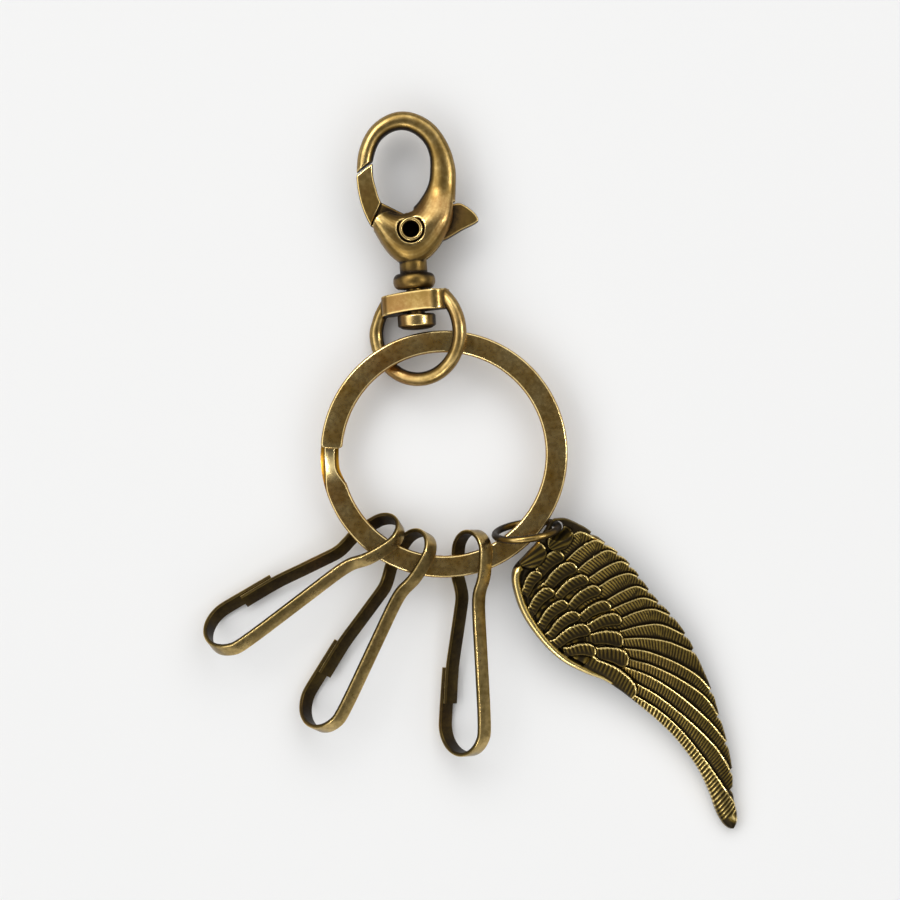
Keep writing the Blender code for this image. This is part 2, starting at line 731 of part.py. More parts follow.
def clip_matrix(ring_angle, lean):
    """Frame of a clip on the split ring: X along the clip, Z along the strip's width."""
    heading = ring_angle + lean
    along = Vector((cos(heading), sin(heading), 0))
    level = Vector((-sin(heading), cos(heading), 0))
    across = cos(CLIP_ROLL) * level + sin(CLIP_ROLL) * Z_AXIS
    normal = along.cross(across)
    frame = Matrix((along, across, normal)).transposed().to_4x4()
    frame.translation = polar(RING_MIDDLE_RADIUS, ring_angle)
    return frame


def build_clips(ring_centre):
    for number, (ring_arc, lean) in enumerate(zip(CLIP_RING_ARCS, CLIP_LEANS), 1):
        pivot = add_axis(f"clip_{number}_axis", ring_centre, clip_matrix(link_angle(ring_arc), lean))
        frame, size = f"clip_{number}_frame", (CLIP_STRIP_WIDTH, CLIP_STRIP_THICKNESS)
        add_piece(frame, strip_mesh(frame, clip_frame_path(), *size), pivot, colour=DARK_BRASS)
        tongue = clip_tongue_path()
        root = Vector((CLIP_TONGUE_START - END_GAP / 2, tongue[0].y, 0))
        blade = strip_mesh(f"clip_{number}_tongue", [point - root for point in tongue], *size)
        add_piece(f"clip_{number}_tongue", blade, pivot, Matrix.Translation(root), DARK_BRASS)


# Jump ring and wing


def jump_directions():
    level = Vector((cos(JUMP_PLAN_ANGLE), sin(JUMP_PLAN_ANGLE), 0))
    ahead = Vector((sin(JUMP_PLAN_ANGLE), -cos(JUMP_PLAN_ANGLE), 0))
    upright = sin(JUMP_LEAN) * ahead + cos(JUMP_LEAN) * Z_AXIS
    return level, upright


def build_jump_ring(ring_centre):
    place = polar(RING_MIDDLE_RADIUS, link_angle(JUMP_RING_ARC))
    level, upright = jump_directions()
    centre = Z_AXIS * JUMP_LIFT
    count = 36
    path = [
        centre + JUMP_RADIUS * (cos(FULL_TURN * k / count) * level + sin(FULL_TURN * k / count) * upright)
        for k in range(count)
    ]
    wire = wire_mesh("jump_ring", path, JUMP_WIRE_RADIUS, level.cross(upright), joined=True, sides=10)
    add_piece("jump_ring", wire, ring_centre, Matrix.Translation(place))
    return place + centre + JUMP_RADIUS * level


def wing_edge(shares, place):
    return WING_WIDTH * between(place, WING_STATION_SHARES, shares)


def wing_place(row):
    """Share of the wing's length at a row, with the rows closer together at both ends."""
    start, end = WING_STATION_SHARES[0], WING_STATION_SHARES[-1]
    return start + (end - start) * (row - 0.09 * sin(FULL_TURN * row))


def feather_line(shares, share):
    """Point of a table of places along the feathers' roots or tips."""
    position = share * (len(shares) - 1)
    i = min(int(position), len(shares) - 2)
    (x0, y0), (x1, y1) = shares[i], shares[i + 1]
    t = position - i
    return (x0 + (x1 - x0) * t) * WING_LENGTH, (y0 + (y1 - y0) * t) * WING_WIDTH


def feather_place(x, y):
    """Share across the fan of flight feathers, and share along the feather, of a point on the wing."""
    low, high = 0.0, 1.0
    for _ in range(24):
        middle = (low + high) / 2
        root_x, root_y = feather_line(FEATHER_ROOT_SHARES, middle)
        tip_x, tip_y = feather_line(FEATHER_TIP_SHARES, middle)
        if (tip_x - root_x) * (y - root_y) - (tip_y - root_y) * (x - root_x) > 0:
            high = middle
        else:
            low = middle
    length = hypot(tip_x - root_x, tip_y - root_y)
    along = ((x - root_x) * (tip_x - root_x) + (y - root_y) * (tip_y - root_y)) / length**2
    return middle, along


def feather_relief(x, y, across, place):
    """Height of the feathers over the wing's smooth face, as a share of one feather's step."""
    fan, along = feather_place(x, y)
    if along > 0:
        return abs(sin(pi * fan * FEATHER_COUNT)) ** 0.5
    row = across * COVERT_ROWS / 0.62
    column = place * COVERT_COUNT / 0.55 + (0.5 if int(row) % 2 else 0.0)
    return 0.6 + 0.8 * (1 - row % 1) * abs(sin(pi * (column % 1)))


def wing_mesh():
    """Closed plate: its face is a grid with a dome and feathers, its back is flat."""
    rows = []
    for i in range(WING_ROWS + 1):
        place = wing_place(i / WING_ROWS)
        lead, trail = wing_edge(WING_LEAD_SHARES, place), wing_edge(WING_TRAIL_SHARES, place)
        fan, _ = feather_place(place * WING_LENGTH, trail)
        trail -= WING_SCALLOP * (1 - abs(sin(pi * fan * FEATHER_COUNT))) * min(1.0, 4 * fan, 4 * (1 - fan))
        row = []
        for j in range(WING_COLUMNS + 1):
            across = j / WING_COLUMNS
            x, y = place * WING_LENGTH, lead + (trail - lead) * across
            swell = sin(pi * across) ** 0.6
            relief = feather_relief(x, y, across, place) * min(1.0, 6 * across, 6 * (1 - across) + 0.3)
            row.append(Vector((x, y, WING_RIM_THICKNESS + WING_DOME * swell + WING_FEATHER_STEP * relief)))
        rows.append(row)
    columns = WING_COLUMNS + 1
    points = [point for row in rows for point in row]
    faces = []
    for i in range(WING_ROWS):
        for j in range(WING_COLUMNS):
            corner = i * columns + j
            faces.append((corner, corner + 1, corner + columns + 1, corner + columns))
    border = [j for j in range(columns)]
    border += [i * columns + columns - 1 for i in range(1, WING_ROWS + 1)]
    border += [WING_ROWS * columns + j for j in range(columns - 2, -1, -1)]
    border += [i * columns for i in range(WING_ROWS - 1, 0, -1)]
    first = len(points)
    points += [Vector((points[k].x, points[k].y, 0)) for k in border]
    back = dict(zip(border, range(first, first + len(border))))
    for k, vertex in enumerate(border):
        following = border[(k + 1) % len(border)]
        faces.append((vertex, following, back[following], back[vertex]))
    for i in range(WING_ROWS):
        near, far = i * columns, (i + 1) * columns
        cell = [back[near]]
        if i == 0:
            cell += [back[j] for j in range(1, columns - 1)]
        cell += [back[near + columns - 1], back[far + columns - 1]]
        if i == WING_ROWS - 1:
            cell += [back[far + j] for j in range(columns - 2, 0, -1)]
        cell.append(back[far])
        faces.append(tuple(cell))
    mesh = bpy.data.meshes.new("wing_charm")
    mesh.from_pydata(points, [], faces)
    face_outwards(mesh)
    return mesh


def build_wing(ring_centre, hole_place):
    """Wing hung by its hole on the jump ring, sloping down until its tip meets the table."""
    middle = (WING_RIM_THICKNESS + WING_DOME) / 2
    height = LINK_HEIGHT + hole_place.z
    slope = asin((height - middle) / WING_LENGTH)
    along = Vector((cos(WING_PLAN_ANGLE) * cos(slope), sin(WING_PLAN_ANGLE) * cos(slope), -sin(slope)))
    side = Vector((-sin(WING_PLAN_ANGLE), cos(WING_PLAN_ANGLE), 0))
    frame = Matrix((along, side, along.cross(side))).transposed().to_4x4()
    frame.translation = hole_place
    mesh = wing_mesh()
    mesh.transform(Matrix.Translation((-WING_HOLE_INSET, -WING_HOLE_OFFSET, -middle)))
    wing = add_piece("wing_charm", mesh, ring_centre, frame, DARK_BRASS, 0.45)
    reach = WING_RIM_THICKNESS + WING_DOME + CUT_OVERRUN
    hole = spindle_mesh("wing_hole", [(-reach, WING_HOLE_RADIUS), (reach, WING_HOLE_RADIUS)], sides=20)
    combine(wing, add_helper("wing_hole_cut", hole, ring_centre, frame), "DIFFERENCE")
    return wing


# Assembly


def build_key_holder():
    clear_scene()
    datum = add_axis("key_holder_datum", None, Matrix.Identity(4))
    tilt = Matrix.Rotation(HOOK_TILT, 4, "Z")
    hook = add_axis("hook_datum", datum, Matrix.Translation(Z_AXIS * LINK_HEIGHT) @ tilt)
    build_hook_body(hook)
    build_gate(hook)
    build_spring(hook)
    build_rivet(hook)
    build_pin(hook)
    build_swivel_eye(hook)
    side = RING_SIDE_OFFSET
    drop = HEAD_BOTTOM - RING_BELOW_HEAD - RING_RADIUS
    ring_place = tilt @ Vector((side, drop, 0)) + Z_AXIS * LINK_HEIGHT
    ring_centre = add_axis("ring_centre", datum, Matrix.Translation(ring_place))
    crossing = Vector((-side, sqrt(RING_MIDDLE_RADIUS**2 - side**2), 0))
    swing = add_axis("ring_swing_axis", ring_centre, Matrix.Translation(tilt @ crossing))
    build_split_ring(swing, Matrix.Translation(-swing.location))
    build_clips(ring_centre)
    build_wing(ring_centre, build_jump_ring(ring_centre))
    stand_on_origin(datum)


def stand_on_origin(datum):
    """Moves the datum so that the key holder stands on Z = 0, centred in X and Y."""
    bpy.context.view_layer.update()
    graph = bpy.context.evaluated_depsgraph_get()
    corners = []
    for obj in bpy.data.objects:
        if obj.type == "MESH" and not obj.hide_render:
            evaluated = obj.evaluated_get(graph)
            corners += [evaluated.matrix_world @ vertex.co for vertex in evaluated.data.vertices]
    low = Vector([min(point[axis] for point in corners) for axis in range(3)])
    high = Vector([max(point[axis] for point in corners) for axis in range(3)])
    middle = (low + high) / 2
    datum.location = Vector((-middle.x, -middle.y, -low.z))


if __name__ == "__main__":
    build_key_holder()
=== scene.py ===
"""Antique brass key holder on a pale table: snap hook, split ring, key clips and wing charm."""

from __future__ import annotations

import json
import logging
from dataclasses import dataclass, field
from enum import Enum
from math import asin, cos, pi, radians, sin, sqrt, tan
from typing import Iterable, Sequence

import bmesh
import bpy
import numpy as np
from mathutils import Matrix, Vector

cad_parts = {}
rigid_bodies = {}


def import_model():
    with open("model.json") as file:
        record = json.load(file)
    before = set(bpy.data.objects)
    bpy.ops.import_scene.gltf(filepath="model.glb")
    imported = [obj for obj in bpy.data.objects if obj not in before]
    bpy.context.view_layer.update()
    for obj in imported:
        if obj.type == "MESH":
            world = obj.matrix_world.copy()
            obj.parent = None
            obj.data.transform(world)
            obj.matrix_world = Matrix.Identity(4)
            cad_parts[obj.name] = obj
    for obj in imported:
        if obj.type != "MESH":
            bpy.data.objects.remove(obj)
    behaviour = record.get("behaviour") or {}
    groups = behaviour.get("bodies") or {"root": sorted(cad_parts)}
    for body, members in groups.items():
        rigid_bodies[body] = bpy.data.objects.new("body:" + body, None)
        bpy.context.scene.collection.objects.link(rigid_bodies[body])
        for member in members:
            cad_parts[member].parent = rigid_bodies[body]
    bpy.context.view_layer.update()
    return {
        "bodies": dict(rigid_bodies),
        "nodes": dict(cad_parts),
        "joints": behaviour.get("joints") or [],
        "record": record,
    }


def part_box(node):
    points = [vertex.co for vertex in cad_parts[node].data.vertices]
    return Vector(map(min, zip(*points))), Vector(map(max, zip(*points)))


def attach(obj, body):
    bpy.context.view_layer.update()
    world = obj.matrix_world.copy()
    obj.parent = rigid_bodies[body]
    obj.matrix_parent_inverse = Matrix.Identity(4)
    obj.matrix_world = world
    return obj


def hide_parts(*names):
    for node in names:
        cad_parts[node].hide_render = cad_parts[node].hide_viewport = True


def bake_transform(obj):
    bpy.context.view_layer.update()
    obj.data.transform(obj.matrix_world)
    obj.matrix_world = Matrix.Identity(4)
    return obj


LOG = logging.getLogger("key_holder")
MM = 0.001
FULL_TURN = 2 * pi
Triple = tuple[float, float, float]
Colour = Triple
Pair = tuple[float, float]
ShadeSpot = tuple[float, float, float, float]
MERGE_DISTANCE = 1e-7
SHARP_ANGLE = radians(55.0)
SIDE_SHADE = 0.60
UP = Vector((0, 0, 1))


class Axis(Enum):
    """Axis that a turned form is spun about."""

    Y = "Y"
    Z = "Z"


# Shader maths


class Value:
    """Number or colour output of a node, with arithmetic."""

    def __init__(self, graph: Graph, socket: bpy.types.NodeSocket) -> None:
        """Wraps a socket of the graph."""
        self.graph = graph
        self.socket = socket

    def __add__(self, other: Value | float) -> Value:
        """Sum."""
        return self.graph.math("ADD", self, other)

    __radd__ = __add__

    def __sub__(self, other: Value | float) -> Value:
        """Difference."""
        return self.graph.math("SUBTRACT", self, other)

    def __rsub__(self, other: float) -> Value:
        """Difference from a number."""
        return self.graph.math("SUBTRACT", other, self)

    def __mul__(self, other: Value | float) -> Value:
        """Product."""
        return self.graph.math("MULTIPLY", self, other)

    __rmul__ = __mul__

    def between(self, low: float, high: float) -> Value:
        """0 at low and 1 at high, smooth in between."""
        node = self.graph.node(
            "ShaderNodeMapRange",
            {"interpolation_type": "SMOOTHSTEP"},
            {"Value": self, "From Min": low, "From Max": high},
        )
        return Value(self.graph, node.outputs["Result"])


class Graph:
    """Node tree of one material or of the sky."""

    def __init__(self, tree: bpy.types.NodeTree, shader: str) -> None:
        """Takes a tree and the shader in it that the graph feeds."""
        self.tree = tree
        self.shader = tree.nodes[shader]

    @staticmethod
    def on(owner: bpy.types.Material | bpy.types.World, shader: str) -> Graph:
        """Graph of a new material or world."""
        owner.use_nodes = True
        return Graph(owner.node_tree, shader)

    def set(self, **inputs: object) -> None:
        """Feeds the shader's inputs, whose names are given with underscores."""
        for key, given in inputs.items():
            self.feed(self.shader.inputs[key.replace("_", " ")], given)

    def node(self, kind: str, settings: dict[str, object], inputs: dict[str | int, object]) -> bpy.types.Node:
        """Adds a node.

        Args:
            kind: The node's type.
            settings: Properties of the node, set before its sockets are read.
            inputs: Values or links of its input sockets, by name or index.

        Returns:
            The new node.
        """
        made = self.tree.nodes.new(kind)
        for key, setting in settings.items():
            setattr(made, key, setting)
        for key, given in inputs.items():
            self.feed(made.inputs[key], given)
        return made

    def feed(self, socket: bpy.types.NodeSocket, given: object) -> None:
        """Links a Value to a socket, or sets a number, vector or colour on it."""
        if isinstance(given, Value):
            self.tree.links.new(given.socket, socket)
        elif socket.type == "RGBA":
            socket.default_value = (*given, 1.0)
        else:
            socket.default_value = given

    def math(self, operation: str, first: object, second: object) -> Value:
        """Math node on two numbers."""
        made = self.node("ShaderNodeMath", {"operation": operation}, {0: first, 1: second})
        return Value(self, made.outputs[0])

    def mix(self, share: Value, low: object, high: object) -> Value:
        """Mix of two colours."""
        made = self.node("ShaderNodeMix", {"data_type": "RGBA"}, {0: share, 6: low, 7: high})
        return Value(self, made.outputs[2])

    def place(self, offset: Triple = (0.0, 0.0, 0.0), stretch: Triple = (1.0, 1.0, 1.0)) -> Value:
        """Object coordinates, moved and stretched."""
        coords = self.node("ShaderNodeTexCoord", {}, {})
        inputs = {"Vector": Value(self, coords.outputs["Object"]), "Location": offset, "Scale": stretch}
        return Value(self, self.node("ShaderNodeMapping", {}, inputs).outputs["Vector"])

    def noise(self, place: Value, scale: float, detail: float, rough: float = 0.55) -> Value:
        """Noise from 0 to 1 at a scale in features a metre."""
        inputs = {"Vector": place, "Scale": scale, "Detail": detail, "Roughness": rough}
        return Value(self, self.node("ShaderNodeTexNoise", {}, inputs).outputs["Fac"])

    def attribute(self, name: str) -> Value:
        """Number stored on the piece's points."""
        made = self.node("ShaderNodeAttribute", {"attribute_name": name}, {})
        return Value(self, made.outputs["Fac"])


@dataclass(frozen=True)
class AntiqueBrass:
    """Brass with a dark patina in its hollows that is rubbed bright on its edges, and darkened where the
    pieces carry painted shade.

    Scales are in features a metre. A range gives where a look starts and where it is full.
    """

    name: str
    dark: Colour = (0.022, 0.013, 0.005)
    middle: Colour = (0.240, 0.148, 0.040)
    bright: Colour = (0.720, 0.520, 0.210)
    blush: Colour = (0.300, 0.140, 0.055)
    patina: float = 0.0
    mottle: float = 0.42
    grain: float = 0.26
    dull: float = 0.50
    polish: float = 0.22
    pitting: float = 0.16
    cloud_scale: float = 230.0
    drift_scale: float = 95.0
    speck_scale: float = 1500.0
    pit_scale: float = 5200.0
    scratch_scale: float = 7000.0
    drift_offset: Triple = (0.31, 0.17, 0.05)
    scratch_stretch: Triple = (1.0, 0.16, 1.0)
    worked_range: Pair = (0.10, 0.50)
    rubbed_range: Pair = (0.47, 0.80)
    blush_range: Pair = (0.52, 0.78)
    blush_share: float = 0.55
    worked_gloss: float = 0.14
    speck_gloss: float = 0.22
    relief_shares: Triple = (0.5, 0.35, 0.25)
    relief_depth: float = 0.05 * MM
    patina_metal: float = 0.88

    def material(self) -> bpy.types.Material:
        """Builds the material.

        Returns:
            A material that reads Object coordinates and the piece's attribute of wear and painted shade.
        """
        made = bpy.data.materials.new(self.name)
        graph = Graph.on(made, "Principled BSDF")
        place = graph.place()
        cloud = graph.noise(place, self.cloud_scale, 3.0)
        drift = graph.noise(graph.place(offset=self.drift_offset), self.drift_scale, 2.0)
        speck = graph.noise(place, self.speck_scale, 6.0, 0.68)
        pit = graph.noise(place, self.pit_scale, 3.0, 0.6)
        scratch = graph.noise(graph.place(stretch=self.scratch_stretch), self.scratch_scale, 2.0)
        # The attribute holds the metal's rubbing together with painted shade on sides, in openings and under
        # other parts.
        wear_and_shade = graph.attribute("wear_and_shade")
        level = wear_and_shade + (cloud - 0.5) * self.mottle + (speck - 0.5) * self.grain - self.patina
        # Painted shade lowers the level, so the dark colour also stands for painted shade.
        worked_and_lit = level.between(*self.worked_range)
        rubbed = level.between(*self.rubbed_range)
        colour = graph.mix(worked_and_lit, self.dark, self.middle)
        colour = graph.mix(drift.between(*self.blush_range) * self.blush_share * worked_and_lit, colour, self.blush)
        colour = graph.mix(rubbed, colour, self.bright)
        gloss = self.dull - self.worked_gloss - self.polish
        rough = self.dull - worked_and_lit * self.worked_gloss - rubbed * gloss + (speck - 0.5) * self.speck_gloss
        of_specks, of_pits, of_scratches = self.relief_shares
        height = speck * of_specks + pit * of_pits + scratch * of_scratches
        inputs = {"Strength": self.pitting, "Distance": self.relief_depth, "Height": height}
        normal = Value(graph, graph.node("ShaderNodeBump", {}, inputs).outputs["Normal"])
        metal = self.patina_metal + worked_and_lit * (1 - self.patina_metal)
        graph.set(Base_Color=colour, Metallic=metal, Roughness=rough, Normal=normal)
        return made


class Finish(Enum):
    """Finishes of the key holder's pieces."""

    CAST = AntiqueBrass("cast_antique_brass")
    STRIP = AntiqueBrass(
        "rolled_strip_brass",
        middle=(0.330, 0.160, 0.010),
        bright=(0.860, 0.680, 0.330),
        blush=(0.340, 0.130, 0.020),
        patina=0.06,
        mottle=0.30,
        grain=0.12,
        dull=0.44,
    )
    CLIP = AntiqueBrass(
        "clip_strip_brass", middle=(0.135, 0.090, 0.022), patina=0.18, mottle=0.34, polish=0.24
    )
    WIRE = AntiqueBrass(
        "drawn_wire_brass", middle=(0.170, 0.100, 0.020), patina=0.14, mottle=0.36, grain=0.22
    )
    RELIEF = AntiqueBrass(
        "relief_brass",
        dark=(0.018, 0.012, 0.004),
        middle=(0.190, 0.130, 0.028),
        bright=(0.860, 0.660, 0.270),
        blush=(0.200, 0.120, 0.032),
        mottle=0.12,
        grain=0.12,
        polish=0.26,
        pitting=0.08,
    )


class Paintbox:
    """Makes each finish once."""

    def __init__(self) -> None:
        """Starts with no material made."""
        self.made: dict[Finish, bpy.types.Material] = {}

    def material(self, finish: Finish) -> bpy.types.Material:
        """The finish's material."""
        if finish not in self.made:
            self.made[finish] = finish.value.material()
        return self.made[finish]


PAINT = Paintbox()


# Curves and forms


def polar(radius: float, angle: float) -> Vector:
    """Point at an angle round Z."""
    return Vector((radius * cos(angle), radius * sin(angle), 0))


def arc(radius: float, start: float, end: float, steps: int = 8) -> list[Vector]:
    """Points on an arc round the origin."""
    return [polar(radius, start + (end - start) * k / steps) for k in range(steps + 1)]


def flat(places: Iterable[Pair], size: float = 1.0) -> list[Vector]:
    """Places in the plane as points, scaled by a size."""
    return [size * Vector((x, y, 0)) for x, y in places]


def arc_places(centre: Pair, radii: Pair, start: float, end: float, steps: int) -> list[Pair]:
    """Places on an arc of an ellipse, for a turned profile.

    Args:
        centre: The ellipse's centre.
        radii: Its half widths, the first one across and the second one up.
        start: Angle of the first place.
        end: Angle of the last place.
        steps: Number of steps between them.

    Returns:
        The places.
    """
    turns = [start + (end - start) * k / steps for k in range(steps + 1)]
    return [(centre[0] + radii[0] * cos(turn), centre[1] + radii[1] * sin(turn)) for turn in turns]


def rod(radius: float, low: float, high: float) -> list[Pair]:
    """Turned profile of a plain rod."""
    return [(0, low), (radius, low), (radius, high), (0, high)]


def spline_point(points: Sequence[Vector], t: float) -> Vector:
    """Point of a Catmull-Rom span through the middle two of four points."""
    before, start, end, after = points
    return 0.5 * (
        2 * start
        + (end - before) * t
        + (2 * before - 5 * start + 4 * end - after) * t**2
        + (3 * start - before - 3 * end + after) * t**3
    )


def smooth_path(points: Sequence[Vector], steps: int) -> list[Vector]:
    """Points on a smooth open curve through the given points."""
    last = len(points) - 1
    path = []
    for i in range(last):
        four = [points[min(max(i + k, 0), last)] for k in (-1, 0, 1, 2)]
        path += [spline_point(four, step / steps) for step in range(steps)]
    return path + [points[-1].copy()]


def table_value(shares: Sequence[float], position: float) -> float:
    """Value of a closed table at a position counted in entries."""
    i = int(position // 1)
    four = [shares[(i + k) % len(shares)] for k in (-1, 0, 1, 2)]
    return spline_point(four, position - i)


def smooth_step(t: float) -> float:
    """0 below 0, 1 above 1, smooth in between."""
    t = min(max(t, 0.0), 1.0)
    return t * t * (3 - 2 * t)


def round_section(radius: float, sides: int) -> list[Pair]:
    """Circle as (side, rise) places."""
    return arc_places((0, 0), (radius, radius), 0, FULL_TURN, sides)[:-1]


def strip_section(thick: float, width: float, corner: float, steps: int = 4) -> list[Pair]:
    """Flat strip with round corners as (side, rise) places."""
    places = []
    for k, (side, rise) in enumerate(((1, 1), (-1, 1), (-1, -1), (1, -1))):
        middle, level = side * (thick / 2 - corner), rise * (width / 2 - corner)
        for j in range(steps + 1):
            turn = pi / 2 * (k + j / steps)
            places.append((middle + corner * cos(turn), level + corner * sin(turn)))
    return places


def only(items: Iterable[object], kind: type) -> list:
    """The vertices or the edges among what an operator made."""
    return [item for item in items if isinstance(item, kind)]


class Form:
    """Mesh being shaped in a piece's own frame, and the piece that it becomes."""

    def __init__(self) -> None:
        """Starts with nothing."""
        self.shape = bmesh.new()
        # Layer of painted shade, which darkens each point's colour.
        self.painted_shade = self.shape.verts.layers.float.new("painted_shade")

    def sweep(
        self,
        sections: Sequence[Sequence[Vector]],
        joined: bool = False,
        painted_shade: Sequence[float] | None = None,
    ) -> Form:
        """Extrudes a closed section through a row of places.

        Args:
            sections: The section's points at each place.
            joined: Whether the last place meets the first.
            painted_shade: How much painted shade each point of the section gets.

        Returns:
            The form.
        """
        first = [self.shape.verts.new(point) for point in sections[0]]
        edges = [self.shape.edges.new(pair) for pair in zip(first, first[1:] + first[:1])]
        painted_shade_values = painted_shade or [0.0] * len(first)
        for vert, value in zip(first, painted_shade_values):
            vert[self.painted_shade] = value
        opening, verts = edges, first
        for section in list(sections[1:]) + ([sections[0]] if joined else []):
            made = bmesh.ops.extrude_edge_only(self.shape, edges=edges)["geom"]
            order = {vert: k for k, vert in enumerate(verts)}
            verts = [None] * len(first)
            for vert in only(made, bmesh.types.BMVert):
                k = next(order[e.other_vert(vert)] for e in vert.link_edges if e.other_vert(vert) in order)
                verts[k] = vert
                vert.co = section[k]
                vert[self.painted_shade] = painted_shade_values[k]
            edges = [e for e in only(made, bmesh.types.BMEdge) if set(verts).issuperset(e.verts)]
        if joined:
            bmesh.ops.remove_doubles(self.shape, verts=self.shape.verts, dist=MERGE_DISTANCE)
        else:
            bmesh.ops.contextual_create(self.shape, geom=opening)
            bmesh.ops.contextual_create(self.shape, geom=edges)
        return self

    def turn(self, profile: Sequence[Pair], axis: Axis = Axis.Z, steps: int = 64) -> Form:
        """Spins a closed or axis-to-axis profile of (radius, height) places."""
        about_z = axis is Axis.Z
        points = [Vector((r, 0, z)) if about_z else Vector((r, z, 0)) for r, z in profile]
        verts = [self.shape.verts.new(point) for point in points]
        pairs = list(zip(verts, verts[1:]))
        if profile[0][0] > 0:
            pairs.append((verts[-1], verts[0]))
        edges = [self.shape.edges.new(pair) for pair in pairs]
        bmesh.ops.spin(
            self.shape,
            geom=verts + edges,
            cent=(0, 0, 0),
            axis=UP if about_z else Vector((0, 1, 0)),
            angle=FULL_TURN,
            steps=steps,
            use_merge=True,
            use_duplicate=False,
        )
        bmesh.ops.remove_doubles(self.shape, verts=self.shape.verts, dist=MERGE_DISTANCE)
        return self

    def plate(self, outline: Sequence[Vector], low: float, high: float) -> Form:
        """Straight plate of an outline."""
        face = self.shape.faces.new([self.shape.verts.new((p.x, p.y, low)) for p in outline])
        made = bmesh.ops.extrude_face_region(self.shape, geom=[face])["geom"]
        bmesh.ops.translate(self.shape, verts=only(made, bmesh.types.BMVert), vec=(0, 0, high - low))
        return self

    def bevel(self, width: float, segments: int = 3, limit: float = 35.0) -> Form:
        """Rounds every edge sharper than the limit in degrees."""
        sharp = [e for e in self.shape.edges if e.is_manifold and e.calc_face_angle(0.0) > radians(limit)]
        bmesh.ops.bevel(
            self.shape,
            geom=sharp,
            offset=width,
            segments=segments,
            affect="EDGES",
            profile=0.5,
            material=-1,
            clamp_overlap=True,
        )
        return self

    def mesh(self, name: str) -> bpy.types.Mesh:
        """The form as a mesh whose faces point outwards."""
        bmesh.ops.recalc_face_normals(self.shape, faces=self.shape.faces)
        made = bpy.data.meshes.new(name)
        self.shape.to_mesh(made)
        self.shape.free()
        return made

    def helper(self, name: str) -> bpy.types.Object:
        """The form as an object that only shapes another."""
        return bpy.data.objects.new(name, self.mesh(name))

    def piece(
        self, name: str, finish: Finish, place: Matrix, face: Vector = UP, shade: float = SIDE_SHADE
    ) -> bpy.types.Object:
        """The form as a finished piece."""
        return finish_piece(name, self.mesh(name), finish, place, face, shade)


def carve(
    mesh: bpy.types.Mesh, steps: Sequence[tuple[str, bpy.types.Object]], cell: float = 0.0, rounds: int = 0
) -> bpy.types.Mesh:
    """Joins and cuts a mesh with helpers, and softens it as a casting is where a cell is given.

    Args:
        mesh: The mesh to start from.
        steps: Boolean operations and the helpers that they take.
        cell: Size of the remeshed faces in metres, or 0 to keep the faces.
        rounds: Smoothing rounds.

    Returns:
        The carved mesh.
    """
    block = bpy.data.objects.new("block", mesh)
    objects = [block] + [helper for _, helper in steps]
    for obj in objects:
        bpy.context.scene.collection.objects.link(obj)
    for operation, helper in steps:
        cut = block.modifiers.new(helper.name, "BOOLEAN")
        cut.operation, cut.object, cut.solver = operation, helper, "EXACT"
    if cell:
        remesh = block.modifiers.new("remesh", "REMESH")
        remesh.mode, remesh.voxel_size = "VOXEL", cell
        soften = block.modifiers.new("soften", "SMOOTH")
        soften.factor, soften.iterations = 0.5, rounds
    graph = bpy.context.evaluated_depsgraph_get()
    made = bpy.data.meshes.new_from_object(block.evaluated_get(graph))
    for obj in objects:
        bpy.data.objects.remove(obj)
    return made


